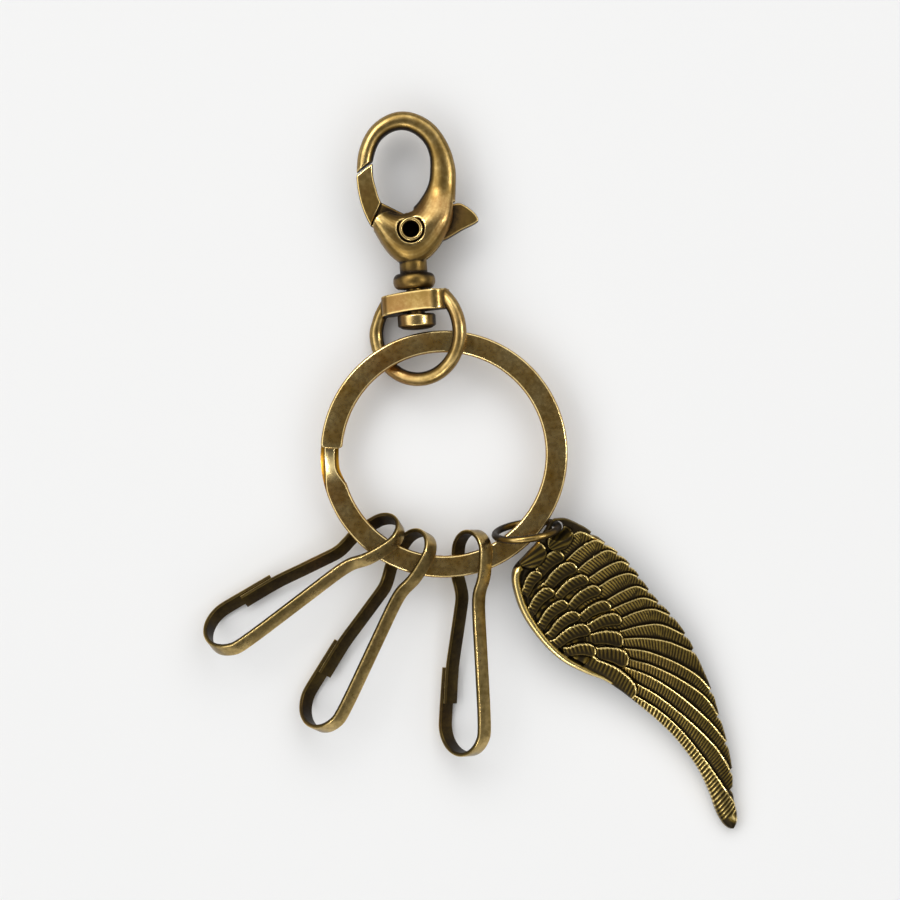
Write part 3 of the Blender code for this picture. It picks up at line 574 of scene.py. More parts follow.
@dataclass(frozen=True)
class WearAndSideShade:
    """Wear from a buffing wheel, which rubs edges bright and flats half bright and leaves hollows dark, plus
    painted shade that darkens the sides.

    Attributes:
        bluntness: Radius of an edge that counts as about half rubbed.
        rounds: How often the wear is spread to its neighbours.
        side_start: Lean from which a surface counts as a side.
        side_width: Further lean at which it is fully a side.
        outer_side_share: Share of the sides' shade that the outer sides keep, where a piece has a heart.
        shortest_edge: Least length of an edge in the bend's sum.
        heart_radius: Least distance from the heart.
    """

    bluntness: float = 0.45 * MM
    rounds: int = 3
    side_start: float = 0.12
    side_width: float = 0.45
    outer_side_share: float = 0.25
    shortest_edge: float = 0.01 * MM
    heart_radius: float = 0.1 * MM

    def mark(self, mesh: bpy.types.Mesh, face: Vector, shade: float, heart: Vector | None = None) -> None:
        """Stores how rubbed and how shaded each point is: 0 in hollows and in the painted shade of the sides,
        0.5 on flats, 1 on edges.

        Args:
            mesh: The finished mesh.
            face: Normal of the piece's flat; the more a surface leans away from it, the more painted shade it
                gets.
            shade: How much painted shade darkens the sides below the flats.
            heart: Middle of the opening, whose inner sides get the most painted shade, or None.
        """
        count = len(mesh.vertices)
        points, normals = np.empty(count * 3), np.empty(count * 3)
        mesh.vertices.foreach_get("co", points)
        mesh.vertices.foreach_get("normal", normals)
        points, normals = points.reshape(-1, 3), normals.reshape(-1, 3)
        ends = np.empty(len(mesh.edges) * 2, np.int64)
        mesh.edges.foreach_get("vertices", ends)
        ends = ends.reshape(-1, 2)
        both = np.concatenate([ends, ends[:, ::-1]])
        step = points[both[:, 1]] - points[both[:, 0]]
        length = np.maximum(np.linalg.norm(step, axis=1), self.shortest_edge)
        bend = -2 * (step * normals[both[:, 0]]).sum(1) / length**2
        links = np.maximum(np.bincount(both[:, 0], minlength=count), 1)
        value = np.bincount(both[:, 0], bend, count) / links
        for _ in range(self.rounds):
            value = 0.5 * value + 0.5 * np.bincount(both[:, 0], value[both[:, 1]], count) / links
        # Painted shade: the more a surface leans from the flat, the darker its colour, and the inner sides of
        # an opening are darkest.
        lean = 1 - np.abs(normals @ np.array(face))
        sides = shade * np.clip((lean - self.side_start) / self.side_width, 0, 1)
        if heart is not None:
            away = (points - np.array(heart)) * (1, 1, 0)
            distance = np.maximum(np.linalg.norm(away, axis=1), self.heart_radius)
            inward = np.clip(2 * -(away * normals).sum(1) / distance, 0, 1)
            sides = sides * (self.outer_side_share + (1 - self.outer_side_share) * inward)
        # Painted shade from shade spots and from the clips' inner faces darkens the points as well.
        painted_shade_values = np.zeros(count, np.float32)
        if "painted_shade" in mesh.attributes:
            mesh.attributes["painted_shade"].data.foreach_get("value", painted_shade_values)
        wear_and_shade = 0.5 + 0.5 * np.tanh(value * self.bluntness) - sides - painted_shade_values
        mesh.attributes.new("wear_and_shade", "FLOAT", "POINT").data.foreach_set("value", wear_and_shade.astype(np.float32))


WEAR_AND_SIDE_SHADE = WearAndSideShade()


def paint_shade_spots(mesh: bpy.types.Mesh, spots: Sequence[ShadeSpot], amount: float) -> bpy.types.Mesh:
    """Paints shade on the points near some spots, full close to each spot and fading out further away.

    Args:
        mesh: The mesh in its own frame.
        spots: X and Y of each spot, and the distances at which the painted shade is full and nil.
        amount: How much the painted shade darkens the nearest points.

    Returns:
        The mesh.
    """
    places = np.array([vertex.co[:2] for vertex in mesh.vertices])
    painted_shade = np.zeros(len(places))
    for x, y, near, far in spots:
        away = np.hypot(places[:, 0] - x, places[:, 1] - y)
        painted_shade = np.maximum(painted_shade, amount * np.clip((far - away) / (far - near), 0, 1))
    mesh.attributes.new("painted_shade", "FLOAT", "POINT").data.foreach_set("value", painted_shade.astype(np.float32))
    return mesh


def finish_piece(
    name: str,
    mesh: bpy.types.Mesh,
    finish: Finish,
    place: Matrix,
    face: Vector | None = UP,
    shade: float = SIDE_SHADE,
    heart: Vector | None = None,
) -> bpy.types.Object:
    """Puts a mesh in its place and gives it its finish, its wear and its painted shade.

    Args:
        name: The piece's name.
        mesh: Its mesh in its own frame.
        finish: Its finish.
        place: Its frame's place.
        face: Normal of its flat in the model's frame, or None where the mesh has its wear and painted shade
            already.
        shade: How much painted shade darkens its sides.
        heart: Middle of its opening in the piece's own frame, whose inner sides get the most painted shade,
            or None.

    Returns:
        The piece.
    """
    mesh.name = name
    mesh.transform(place)
    mesh.shade_smooth()
    mesh.set_sharp_from_angle(angle=SHARP_ANGLE)
    if face is not None:
        WEAR_AND_SIDE_SHADE.mark(mesh, face, shade, heart and place @ heart)
    mesh.materials.clear()
    mesh.materials.append(PAINT.material(finish))
    obj = bpy.data.objects.new(name, mesh)
    bpy.context.scene.collection.objects.link(obj)
    return obj


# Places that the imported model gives


@dataclass
class Datum:
    """Frames of the sub-assemblies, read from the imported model's joints and nodes."""

    joints: dict[str, dict[str, object]]

    def at(self, joint: str) -> Vector:
        """A joint's place."""
        return Vector(self.joints[joint]["pos_m"])

    def along(self, joint: str) -> Vector:
        """A joint's axis."""
        return Vector(self.joints[joint]["axis"]).normalized()

    def hook(self) -> Matrix:
        """Frame of the snap hook: origin at the gate's pivot, Y towards the nose."""
        nose = self.along("swivel")
        return self.frame(nose.cross(UP), nose, self.at("gate_hinge"))

    def clip(self, number: int, roll: float) -> Matrix:
        """Frame of a key clip: X along it, Z along the width of its strip."""
        normal = self.along(f"clip_{number}_tongue_flex")
        along = UP.cross(normal) / sin(roll)
        return self.frame(along, normal.cross(along), self.at(f"clip_{number}_swing"))

    def ring_centre(self) -> Vector:
        """Centre of the split ring."""
        low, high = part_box("split_ring")
        return (low + high) / 2

    @staticmethod
    def frame(x: Vector, y: Vector, origin: Vector) -> Matrix:
        """Matrix of a right-handed frame from two axes and an origin."""
        made = Matrix((x, y, x.cross(y))).transposed().to_4x4()
        made.translation = origin
        return made


# Snap hook


@dataclass
class SnapHook:
    """Cast hook, gate lever, rivet and swivel pin."""

    place: Matrix
    half_width: float = 7.0 * MM
    opening_half_width: float = 4.0 * MM
    centre: Vector = field(default_factory=lambda: Vector((-0.4, 8.6, 0)) * MM)
    bar_half_thickness: float = 1.5 * MM
    lobe_half_thickness: float = 2.9 * MM
    lobe_top: float = 6.0 * MM
    roundness: float = 0.75
    tip_reach: float = 10.85 * MM
    shoulder_reach: float = 5.7 * MM
    lever_inset: float = 0.5 * MM
    end_gap: float = 0.3 * MM
    slot_half_height: float = 1.25 * MM
    lever_half_height: float = 1.05 * MM
    lever_bevel: float = 0.28 * MM
    arm_bevel: float = 0.38 * MM
    hub_radius: float = 2.4 * MM
    hub_gap: float = 0.2 * MM
    trigger_reach: float = 9.6 * MM
    pocket_radius: float = 2.1 * MM
    pocket_floor: float = -0.55 * MM
    rivet_bore: float = 1.1 * MM
    rivet_shank: float = 1.45 * MM
    rivet_flange: float = 1.74 * MM
    rivet_level: float = 2.25 * MM
    rivet_lip: float = 0.55 * MM
    rivet_lip_foot: float = 0.35
    rivet_web: float = 0.6 * MM
    rivet_step: float = 0.05 * MM
    bore_gap: float = 0.1 * MM
    recess_gap: float = 0.22 * MM
    neck_start: float = -4.2 * MM
    neck_radius: float = 1.95 * MM
    collar_radius: float = 3.0 * MM
    collar_overlap: float = 0.1 * MM
    collar_round: float = 0.75 * MM
    collar_top: float = 6.1 * MM
    collar_height: float = 2.2 * MM
    pin_radius: float = 1.25 * MM
    pin_length: float = 4.9 * MM
    head_radius: float = 2.7 * MM
    head_top: float = -11.9 * MM
    head_height: float = 1.8 * MM
    head_edge: float = 0.35 * MM
    head_dome: float = 0.42 * MM
    overrun: float = 2.0 * MM
    cell: float = 0.115 * MM
    softening: int = 4
    gate_cell: float = 0.075 * MM
    gate_softening: int = 3
    neck_shade: float = 0.26
    gate_shade: float = 0.50
    gate_side: Pair = (radians(140), radians(262))
    nose_sweep: Pair = (radians(146), radians(106))
    slot_front: Pair = (radians(-70), radians(17))
    slot_hub: Pair = (radians(62), radians(80))
    slot_crown: Pair = (radians(80), radians(176))
    slot_back: Pair = (radians(176), radians(290))
    lever_back: Pair = (radians(172), radians(318))
    lever_crown: Pair = (radians(58), radians(108))
    # Painted shade on the gate near the pivot, where it runs into the slot, and on the trigger beside the
    # lobe.
    gate_shade_spots: tuple[ShadeSpot, ...] = (
        (0.0, 0.0, 4.0 * MM, 6.2 * MM),
        (3.6 * MM, 2.2 * MM, 1.8 * MM, 5.4 * MM),
    )
    # Painted shade on the neck and collar between the lobe and the swivel band.
    neck_shade_spots: tuple[ShadeSpot, ...] = ((0.0, -7.2 * MM, 1.8 * MM, 3.6 * MM),)
    outer_shares: tuple[float, ...] = (
        1.03, 1.03, 1.12, 1.185, 1.12, 1.01, 0.97, 1.085, 1.39, 1.95, 1.585, 1.155,
    )
    inner_shares: tuple[float, ...] = (
        0.91, 1.04, 1.25, 1.42, 1.36, 1.19, 1.125, 1.20, 1.49, 1.44, 1.125, 0.96,
    )
    cheek_shares: tuple[Pair, ...] = (
        (-0.31, 0.49), (-0.37, 0.415), (-0.485, 0.393), (-0.595, 0.356), (-0.67, 0.293),
        (-0.725, 0.22), (-0.757, 0.13), (-0.771, 0.036), (-1.4, -0.05),
    )
    trigger_shares: tuple[Pair, ...] = (
        (0.30, -0.235), (0.52, -0.165), (0.75, -0.047), (0.955, 0.04), (1.0, 0.10),
        (0.94, 0.205), (0.81, 0.315), (0.70, 0.352), (0.45, 0.300),
    )

    def contour(self, outer: bool, angle: float) -> Vector:
        """Point of the outer contour or of the opening's contour at an angle round the hook's centre."""
        size = self.half_width if outer else self.opening_half_width
        shares = self.outer_shares if outer else self.inner_shares
        position = angle % FULL_TURN / FULL_TURN * len(shares)
        return self.centre + polar(size * table_value(shares, position), angle)

    def contour_at_reach(self, outer: bool, reach: float) -> Vector:
        """Point of a contour on the gate's side at a distance from the pivot."""
        high, low = self.gate_side
        for _ in range(40):
            middle = (high + low) / 2
            if self.contour(outer, middle).length > reach:
                high = middle
            else:
                low = middle
        return self.contour(outer, middle)

    def half_thickness(self, height: float) -> float:
        """Half thickness of the casting at a height over the pivot."""
        share = smooth_step(1 - height / self.lobe_top)
        return self.bar_half_thickness + (self.lobe_half_thickness - self.bar_half_thickness) * share

    def casting(self, sides: int = 168, steps: int = 18) -> bpy.types.Mesh:
        """Closed loop with a round section between the two contours."""
        sections = []
        for k in range(sides):
            angle = FULL_TURN * k / sides
            outer, inner = self.contour(True, angle), self.contour(False, angle)
            section = []
            for j in range(2 * steps):
                turn = pi * j / steps
                point = outer.lerp(inner, (1 - cos(turn)) / 2)
                rise = abs(sin(turn)) ** self.roundness * self.half_thickness(point.y)
                section.append(point + Vector((0, 0, rise if j <= steps else -rise)))
            sections.append(section)
        return Form().sweep(sections, joined=True).mesh("casting")

    def gap_cutter(self) -> bpy.types.Object:
        """Gap between nose and cheeks where the gate's arm lies."""
        nose = arc(self.tip_reach + self.end_gap, *self.nose_sweep)
        cheek = flat(self.cheek_shares, self.half_width)
        reach = self.lobe_half_thickness + self.overrun
        return Form().plate(nose + cheek, -reach, reach).helper("gap_cutter")

    def slot_cutter(self) -> bpy.types.Object:
        """Slot through the lobe for the lever."""
        near = self.hub_radius + self.hub_gap
        outline = arc(self.trigger_reach + self.overrun, *self.slot_front)
        outline += [point + Vector((0, self.end_gap, 0)) for point in self.trigger_points()[-3:]]
        outline += arc(near, *self.slot_hub)
        outline += arc(self.shoulder_reach + self.overrun, *self.slot_crown)
        outline += arc(near, *self.slot_back)
        return Form().plate(outline, -self.slot_half_height, self.slot_half_height).helper("slot_cutter")

    def rivet_cutter(self) -> bpy.types.Object:
        """Hole and countersinks for the rivet."""
        recess, bore = self.rivet_flange + self.recess_gap, self.rivet_shank + self.bore_gap
        level, top = self.rivet_level - self.bore_gap, self.lobe_half_thickness + self.overrun
        profile = [(0, -top), (recess, -top), (recess, -level), (bore, -level)]
        profile += [(r, -z) for r, z in reversed(profile)]
        return Form().turn(profile).helper("rivet_cutter")

    def neck(self) -> bpy.types.Object:
        """Neck and round collar, cast with the hook."""
        top, bottom = -self.collar_top, -self.collar_top - self.collar_height
        root = self.collar_radius - self.collar_round
        profile = [(0, self.neck_start), (self.neck_radius, self.neck_start)]
        profile.append((self.neck_radius, top - self.collar_overlap))
        bulge = (self.collar_radius - root, self.collar_height / 2)
        profile += arc_places((root, (top + bottom) / 2), bulge, pi / 2, -pi / 2, 12)
        profile += [(self.pin_radius, bottom), (0, bottom)]
        return Form().turn(profile, Axis.Y).helper("neck")

    def body(self) -> bpy.types.Object:
        """Cast hook body."""
        steps = [
            ("DIFFERENCE", self.gap_cutter()),
            ("DIFFERENCE", self.slot_cutter()),
            ("DIFFERENCE", self.rivet_cutter()),
            ("UNION", self.neck()),
        ]
        mesh = carve(self.casting(), steps, self.cell, self.softening)
        mesh = paint_shade_spots(mesh, self.neck_shade_spots, self.neck_shade)
        # The opening's inner sides get the most painted shade.
        return finish_piece("hook_casting", mesh, Finish.CAST, self.place, heart=self.centre)

    def arm_outline(self, low: float, high: float, steps: int = 14) -> list[Vector]:
        """Outline of the gate's arm."""
        reaches = [low + (high - low) * k / steps for k in range(steps + 1)]
        outer = [self.contour_at_reach(True, reach) for reach in reaches]
        inner = [self.contour_at_reach(False, reach) for reach in reversed(reaches)]
        return outer + [(outer[-1] + inner[0]).normalized() * high] + inner

    def trigger_points(self) -> list[Vector]:
        """Points of the thumb trigger's outline."""
        return flat(self.trigger_shares, self.trigger_reach)

    def lever_outline(self) -> list[Vector]:
        """Outline of the lever's thin plate: hub, trigger and the arm's root."""
        outline = arc(self.hub_radius, *self.lever_back, 16)
        outline += smooth_path(self.trigger_points(), 3)
        outline += arc(self.hub_radius, *self.lever_crown, 6)
        root = self.arm_outline(self.shoulder_reach, self.tip_reach - self.lever_inset)
        return outline + list(reversed(root))

    def gate(self) -> bpy.types.Object:
        """Gate lever with its arm and trigger."""
        lever = Form().plate(self.lever_outline(), -self.lever_half_height, self.lever_half_height)
        thick = self.bar_half_thickness
        arm = Form().plate(self.arm_outline(self.shoulder_reach, self.tip_reach), -thick, thick)
        lever.bevel(self.lever_bevel)
        arm.bevel(self.arm_bevel)
        reach = 2 * self.overrun
        hole = Form().turn(rod(self.rivet_shank + self.bore_gap, -reach, reach))
        pocket = Form().turn(rod(self.pocket_radius, self.pocket_floor, self.overrun))
        steps = [
            ("UNION", arm.helper("arm")),
            ("DIFFERENCE", hole.helper("bore")),
            ("DIFFERENCE", pocket.helper("pocket")),
        ]
        mesh = carve(lever.mesh("lever"), steps, self.gate_cell, self.gate_softening)
        mesh = paint_shade_spots(mesh, self.gate_shade_spots, self.gate_shade)
        return finish_piece("gate", mesh, Finish.CAST, self.place)

    def rivet(self) -> bpy.types.Object:
        """Rivet with rolled ends and a blind bore."""
        bore, flange, level, lip = self.rivet_bore, self.rivet_flange, self.rivet_level, self.rivet_lip
        foot = level + lip * self.rivet_lip_foot
        roll = ((flange - bore) / 2, lip * (1 - self.rivet_lip_foot))
        half = [(self.rivet_shank, level), (flange - self.rivet_step, level)]
        half += arc_places(((bore + flange) / 2, foot), roll, 0, pi, 12)
        floor = self.rivet_web - level - lip
        profile = [(0, floor), (bore, floor)] + list(reversed(half))
        profile += [(r, -z) for r, z in half] + [(0, -foot)]
        return Form().turn(profile, steps=72).piece("rivet", Finish.WIRE, self.place)

    def pin(self) -> bpy.types.Object:
        """Swivel pin with its round head."""
        top, bottom, edge = self.head_top, self.head_top - self.head_height, self.head_edge
        start, flat_radius = top + self.pin_length, self.head_radius - edge
        profile = [(0, start), (self.pin_radius, start), (self.pin_radius, top)]
        profile += arc_places((flat_radius, top - edge), (edge, edge), pi / 2, 0, 6)
        profile += arc_places((flat_radius, bottom + edge), (edge, edge), 0, -pi / 2, 6)
        profile += arc_places((0, bottom), (flat_radius, -self.head_dome), 0, pi / 2, 8)[1:]
        return Form().turn(profile, Axis.Y, 72).piece("pin", Finish.CAST, self.place)

    def build(self) -> None:
        """Builds the hook's pieces and lets them ride on their bodies."""
        dress(self.body(), "hook", "hook_body")
        dress(self.gate(), "gate", "gate_lever")
        dress(self.rivet(), "hook", "gate_rivet")
        dress(self.pin(), "hook", "swivel_pin")


def dress(piece: bpy.types.Object, body: str, node: str) -> None:
    """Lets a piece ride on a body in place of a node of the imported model."""
    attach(piece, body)
    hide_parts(node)
    LOG.info("%s: %d faces on %s", piece.name, len(piece.data.polygons), body)


@dataclass
class SwivelEye:
    """Flat band, bowed and slanted a little, with a round wire loop that runs into it."""

    place: Matrix
    band_top: float = -8.75 * MM
    band_height: float = 2.85 * MM
    half_length: float = 4.9 * MM
    half_depth: float = 2.3 * MM
    corner: float = 1.6 * MM
    wire_radius: float = 1.0 * MM
    loop_radius: float = 6.6 * MM
    drop: float = 2.9 * MM
    roll: float = radians(26.0)
    bore: float = 1.35 * MM
    overrun: float = 1.0 * MM
    overlap: float = radians(10.0)
    slant: float = 0.26 * MM
    bow: float = 0.24 * MM
    bow_level: float = 0.4
    bend_start: float = 3.4 * MM
    bend_height: float = 3.6 * MM
    cell: float = 0.11 * MM
    softening: int = 7

    def loop(self, centre: float, steps: int = 96) -> bpy.types.Object:
        """Wire loop round a centre on the eye's own axis, from side to side of the band."""
        meet = asin((self.band_top - self.band_height / 2 - centre) / self.loop_radius) + self.overlap
        wire = round_section(self.wire_radius, 28)
        sections = []
        for k in range(steps + 1):
            out = polar(1.0, meet - (pi + 2 * meet) * k / steps)
            middle = Vector((0, centre, 0)) + out * self.loop_radius
            sections.append([middle + out * side + Vector((0, 0, rise)) for side, rise in wire])
        return Form().sweep(sections).helper("loop")

    def build(self) -> None:
        """Builds the eye."""
        low = self.band_top - self.band_height
        outline = strip_section(2 * self.half_length, 2 * self.half_depth, self.corner, 8)
        band = Form().sweep([[Vector((x, y, z)) for x, z in outline] for y in (self.band_top, low)])
        centre = low - self.drop
        hole = Form().turn(rod(self.bore, low - self.overrun, self.band_top + self.overrun), Axis.Y)
        steps = [("UNION", self.loop(centre)), ("DIFFERENCE", hole.helper("bore"))]
        mesh = carve(band.mesh("band"), steps, self.cell, self.softening)
        for vertex in mesh.vertices:
            share = smooth_step((vertex.co.y - low + self.bend_start) / self.bend_height)
            aside = vertex.co.x / self.half_length
            vertex.co.y += share * (self.slant * aside + self.bow * (self.bow_level - aside**2))
        turned = self.place @ Matrix.Rotation(-self.roll, 4, "Y")
        # The loop's inner sides get the most painted shade.
        piece = finish_piece("swivel_loop", mesh, Finish.CAST, turned, heart=Vector((0, centre, 0)))
        dress(piece, "swivel_eye", "swivel_eye")


# Split ring


@dataclass
class SplitRing:
    """Two turns of flat strip with rounded ends and a narrower, stepped crossover."""

    centre: Vector
    radius: float = 17.5 * MM
    width: float = 3.1 * MM
    thickness: float = 0.75 * MM
    gap: float = 0.1 * MM
    start: float = radians(177.0)
    step: float = radians(17.0)
    end: float = radians(702.0)
    narrow_share: float = 0.17
    flank_share: float = 0.40
    neck_shares: tuple[float, float, float, float] = (-0.3, 0.45, 1.1, 1.5)
    corner: float = 0.33 * MM
    end_corner: float = 0.60 * MM
    side_shade: float = 0.25

    def turns(self, count: int, steps: int = 6) -> list[float]:
        """Angles of the strip's sections, closer together where its ends are rounded."""
        reach = self.end_corner / self.radius
        rounds = [reach * (1 - cos(pi / 2 * k / steps)) for k in range(steps)]
        middle = [reach + (self.end - 2 * reach) * k / count for k in range(count + 1)]
        return rounds + middle + [self.end - turned for turned in reversed(rounds)]

    def build(self, count: int = 420) -> None:
        """Builds the ring."""
        rise = (self.thickness + self.gap) / 2
        step_start = FULL_TURN - self.step
        narrows, narrow, widens, wide = self.neck_shares
        sections = []
        for turned in self.turns(count):
            share = (turned - step_start) / self.step
            level = rise * (1 - 2 * smooth_step(share))
            neck = smooth_step((share - narrows) / (narrow - narrows))
            neck -= smooth_step((share - widens) / (wide - widens))
            width = self.width * (1 - self.narrow_share * neck)
            out = polar(1.0, self.start - turned)
            middle = out * (self.radius - width / 2) + Vector((0, 0, level))
            inset = min(turned, self.end - turned) * self.radius / self.end_corner
            width -= 2 * self.end_corner * (1 - sqrt(1 - max(1 - inset, 0) ** 2))
            places = strip_section(width, self.thickness, self.corner, 5)
            flanked = [(a * (1 - self.flank_share * neck * (b > 0)), b) for a, b in places]
            sections.append([middle + out * a + Vector((0, 0, b)) for a, b in flanked])
        ring = Form().sweep(sections)
        piece = ring.piece("key_ring", Finish.STRIP, Matrix.Translation(self.centre), shade=self.side_shade)
        dress(piece, "split_ring", "split_ring")


# Key clips


@dataclass
class KeyClip:
    """Clip bent from one flat strip: an open eye, a long leg, a nose and a sprung tongue."""

    number: int
    place: Matrix
    roll: float = radians(47.0)
    width: float = 2.2 * MM
    thickness: float = 0.6 * MM
    corner: float = 0.14 * MM
    ring_thickness: float = 1.6 * MM
    ring_width: float = 3.1 * MM
    eye_clearance: float = 0.42 * MM
    eye_back: float = 4.8 * MM
    neck: float = 4.7 * MM
    neck_half_width: float = 1.6 * MM
    nose_radius: float = 4.1 * MM
    nose_centre: float = 23.0 * MM
    tongue_start: float = 6.0 * MM
    tongue_end: float = 20.2 * MM
    hook_end: float = 15.1 * MM
    seat_gap: float = 0.1 * MM
    end_gap: float = 0.3 * MM
    softening: int = 12
    path_steps: int = 5
    leg_shares: tuple[float, ...] = (0.25, 0.5, 0.75, 0.9)
    tail_shares: tuple[float, ...] = (0.35, 0.7, 1.0)
    blade_shares: tuple[float, ...] = (0.33, 0.66)
    bend_share: float = 0.3
    side_shade: float = 0.1
    inner_shade: float = 0.40

    def eye_half_width(self) -> float:
        """Middle line of the eye, wide enough for the ring at the clip's roll."""
        slant = pi / 2 - self.roll
        inner = self.ring_thickness / cos(slant) + self.width * tan(slant)
        return inner / 2 + self.eye_clearance + self.thickness / 2

    def root_points(self) -> list[Vector]:
        """Middle line of the eye's lower side, from the tongue's root to the place under the split ring."""
        wide, neck = self.eye_half_width(), self.neck_half_width
        return [
            Vector((self.tongue_start - self.end_gap / 2, -neck - self.seat_gap, 0)),
            Vector((self.neck, -neck, 0)),
            Vector((self.neck - self.ring_width / 2, -(neck + wide) / 2, 0)),
            Vector((self.ring_width / 2, -wide, 0)),
        ]

    def tail_offset(self) -> float:
        """Distance of the hook end from the clip's middle line."""
        return self.nose_radius - self.thickness / 2

    def frame_path(self) -> list[Vector]:
        """Middle line from under the split ring, round the eye, along the leg and round the nose."""
        wide, back, neck = self.eye_half_width(), self.eye_back - self.thickness / 2, self.neck_half_width
        left = self.root_points()
        right = [Vector((p.x, -p.y, 0)) for p in reversed(left[1:])]
        end = [Vector((wide - back, 0, 0)) + polar(wide, -pi / 2 - pi * k / 10) for k in range(11)]
        slope = (self.nose_radius - neck) / (self.nose_centre - self.neck)
        leg_end = Vector((self.nose_centre - self.nose_radius / 4, self.nose_radius * (1 - slope / 4), 0))
        leg = [right[-1].lerp(leg_end, t) for t in self.leg_shares]
        turns = [pi / 2 - slope - (pi - slope) * k / 14 for k in range(15)]
        nose = [Vector((self.nose_centre, 0, 0)) + polar(self.nose_radius, turn) for turn in turns]
        hook_end = Vector((self.hook_end, -self.tail_offset(), 0))
        tail = [nose[-1].lerp(hook_end, t) for t in self.tail_shares]
        whole = smooth_path(left + end + right + leg + nose + tail, self.path_steps)
        spring_leg_steps = self.path_steps * (len(left) - 1) - 1
        return whole[spring_leg_steps:]

    def leg_path(self) -> list[Vector]:
        """Middle line of the sprung leg, from under the split ring to its free end."""
        root = self.root_points()
        beyond = Vector((-self.ring_width / 4, root[-1].y, 0))
        hidden = smooth_path(root + [beyond], self.path_steps)[: self.path_steps * (len(root) - 1)]
        inside = self.tail_offset() - self.thickness - self.seat_gap
        rest = Vector((self.hook_end, -inside, 0))
        end = Vector((self.tongue_end, -inside - self.thickness / 6, 0))
        blade = [root[0]] + [root[0].lerp(rest, t) for t in self.blade_shares] + [rest, end]
        return list(reversed(hidden))[:-1] + smooth_path(blade, 8)

    def strip(self, path: Sequence[Vector], inner: float) -> Form:
        """Flat strip along a path, whose inner face is darkened with painted shade.

        Args:
            path: Middle line of the strip.
            inner: 1 where the clip's inside is to the right of the path, -1 to the left.

        Returns:
            The strip.
        """
        for _ in range(self.softening):
            path = [path[0]] + [(a + 2 * b + c) / 4 for a, b, c in zip(path, path[1:], path[2:])] + [path[-1]]
        sections, last = [], len(path) - 1
        places = strip_section(self.thickness, self.width, self.corner)
        for i, point in enumerate(path):
            along = (path[min(i + 1, last)] - path[max(i - 1, 0)]).normalized()
            side = along.cross(UP)
            sections.append([point + side * a + Vector((0, 0, b)) for a, b in places])
        # Points on the inner face get painted shade.
        return Form().sweep(sections, painted_shade=[self.inner_shade if a * inner > 0 else 0.0 for a, _ in places])

    def build(self) -> None:
        """Builds the clip's frame and its sprung leg."""
        name, root, path = f"clip_{self.number}", self.root_points()[0], self.leg_path()
        look = (Finish.CLIP, self.place, self.place.to_3x3().col[1].normalized(), self.side_shade)
        frame = self.strip(self.frame_path(), 1).piece(f"{name}_strip", *look)
        dress(frame, name, f"{name}_frame")
        leg = self.strip(path, -1).piece(f"{name}_spring_leg", *look)
        bend_end = root.lerp(path[-1], self.bend_share)
        self.place @ root
        self.place @ bend_end
        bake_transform(leg)
        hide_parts(f"{name}_tongue")
        LOG.info("%s: %d faces, bends at its root", leg.name, len(leg.data.polygons))


# Jump ring and wing


@dataclass
class JumpRing:
    """Round wire ring with a closed butt joint."""

    crossing: Vector
    wire_radius: float = 0.5 * MM
    radius: float = 4.5 * MM
    plan_angle: float = radians(8.0)
    lean: float = radians(13.0)
    lift: float = 1.0 * MM
    start: float = radians(-64.0)
    joint: float = radians(1.2)

    def build(self, count: int = 144) -> None:
        """Builds the ring."""
        level = Vector((cos(self.plan_angle), sin(self.plan_angle), 0))
        ahead = Vector((sin(self.plan_angle), -cos(self.plan_angle), 0))
        upright = sin(self.lean) * ahead + cos(self.lean) * UP
        normal = level.cross(upright)
        wire = round_section(self.wire_radius, 24)
        sections = []
        for k in range(count + 1):
            turn = self.start + (FULL_TURN - self.joint) * k / count
            out = cos(turn) * level + sin(turn) * upright
            middle = Vector((0, 0, self.lift)) + out * self.radius
            sections.append([middle + out * a + normal * b for a, b in wire])
        place = Matrix.Translation(self.crossing)
        dress(Form().sweep(sections).piece("link_ring", Finish.WIRE, place), "jump_ring", "jump_ring")


@dataclass(frozen=True)
class Covert:
    """Small overlapping feather.

    Attributes:
        base: Its root, in shares of the wing's length and width.
        tip: Its tip, in the same shares.
        half_width: Half its width, as a share of the wing's width.
        layer: 1 for the lowest layer, 3 for the uppermost.
        bend: Sideways bow of its middle, as a share of its length.
        shell: Whether it is an oval with cross ribs, and not a feather.
    """

    base: Pair
    tip: Pair
    half_width: float
    layer: int
    bend: float = 0.10
    shell: bool = False


@dataclass
class Relief:
    """Height over the plate in metres, and wear and painted shade from 0 to 1, point by point."""

    height: np.ndarray
    wear_and_shade: np.ndarray


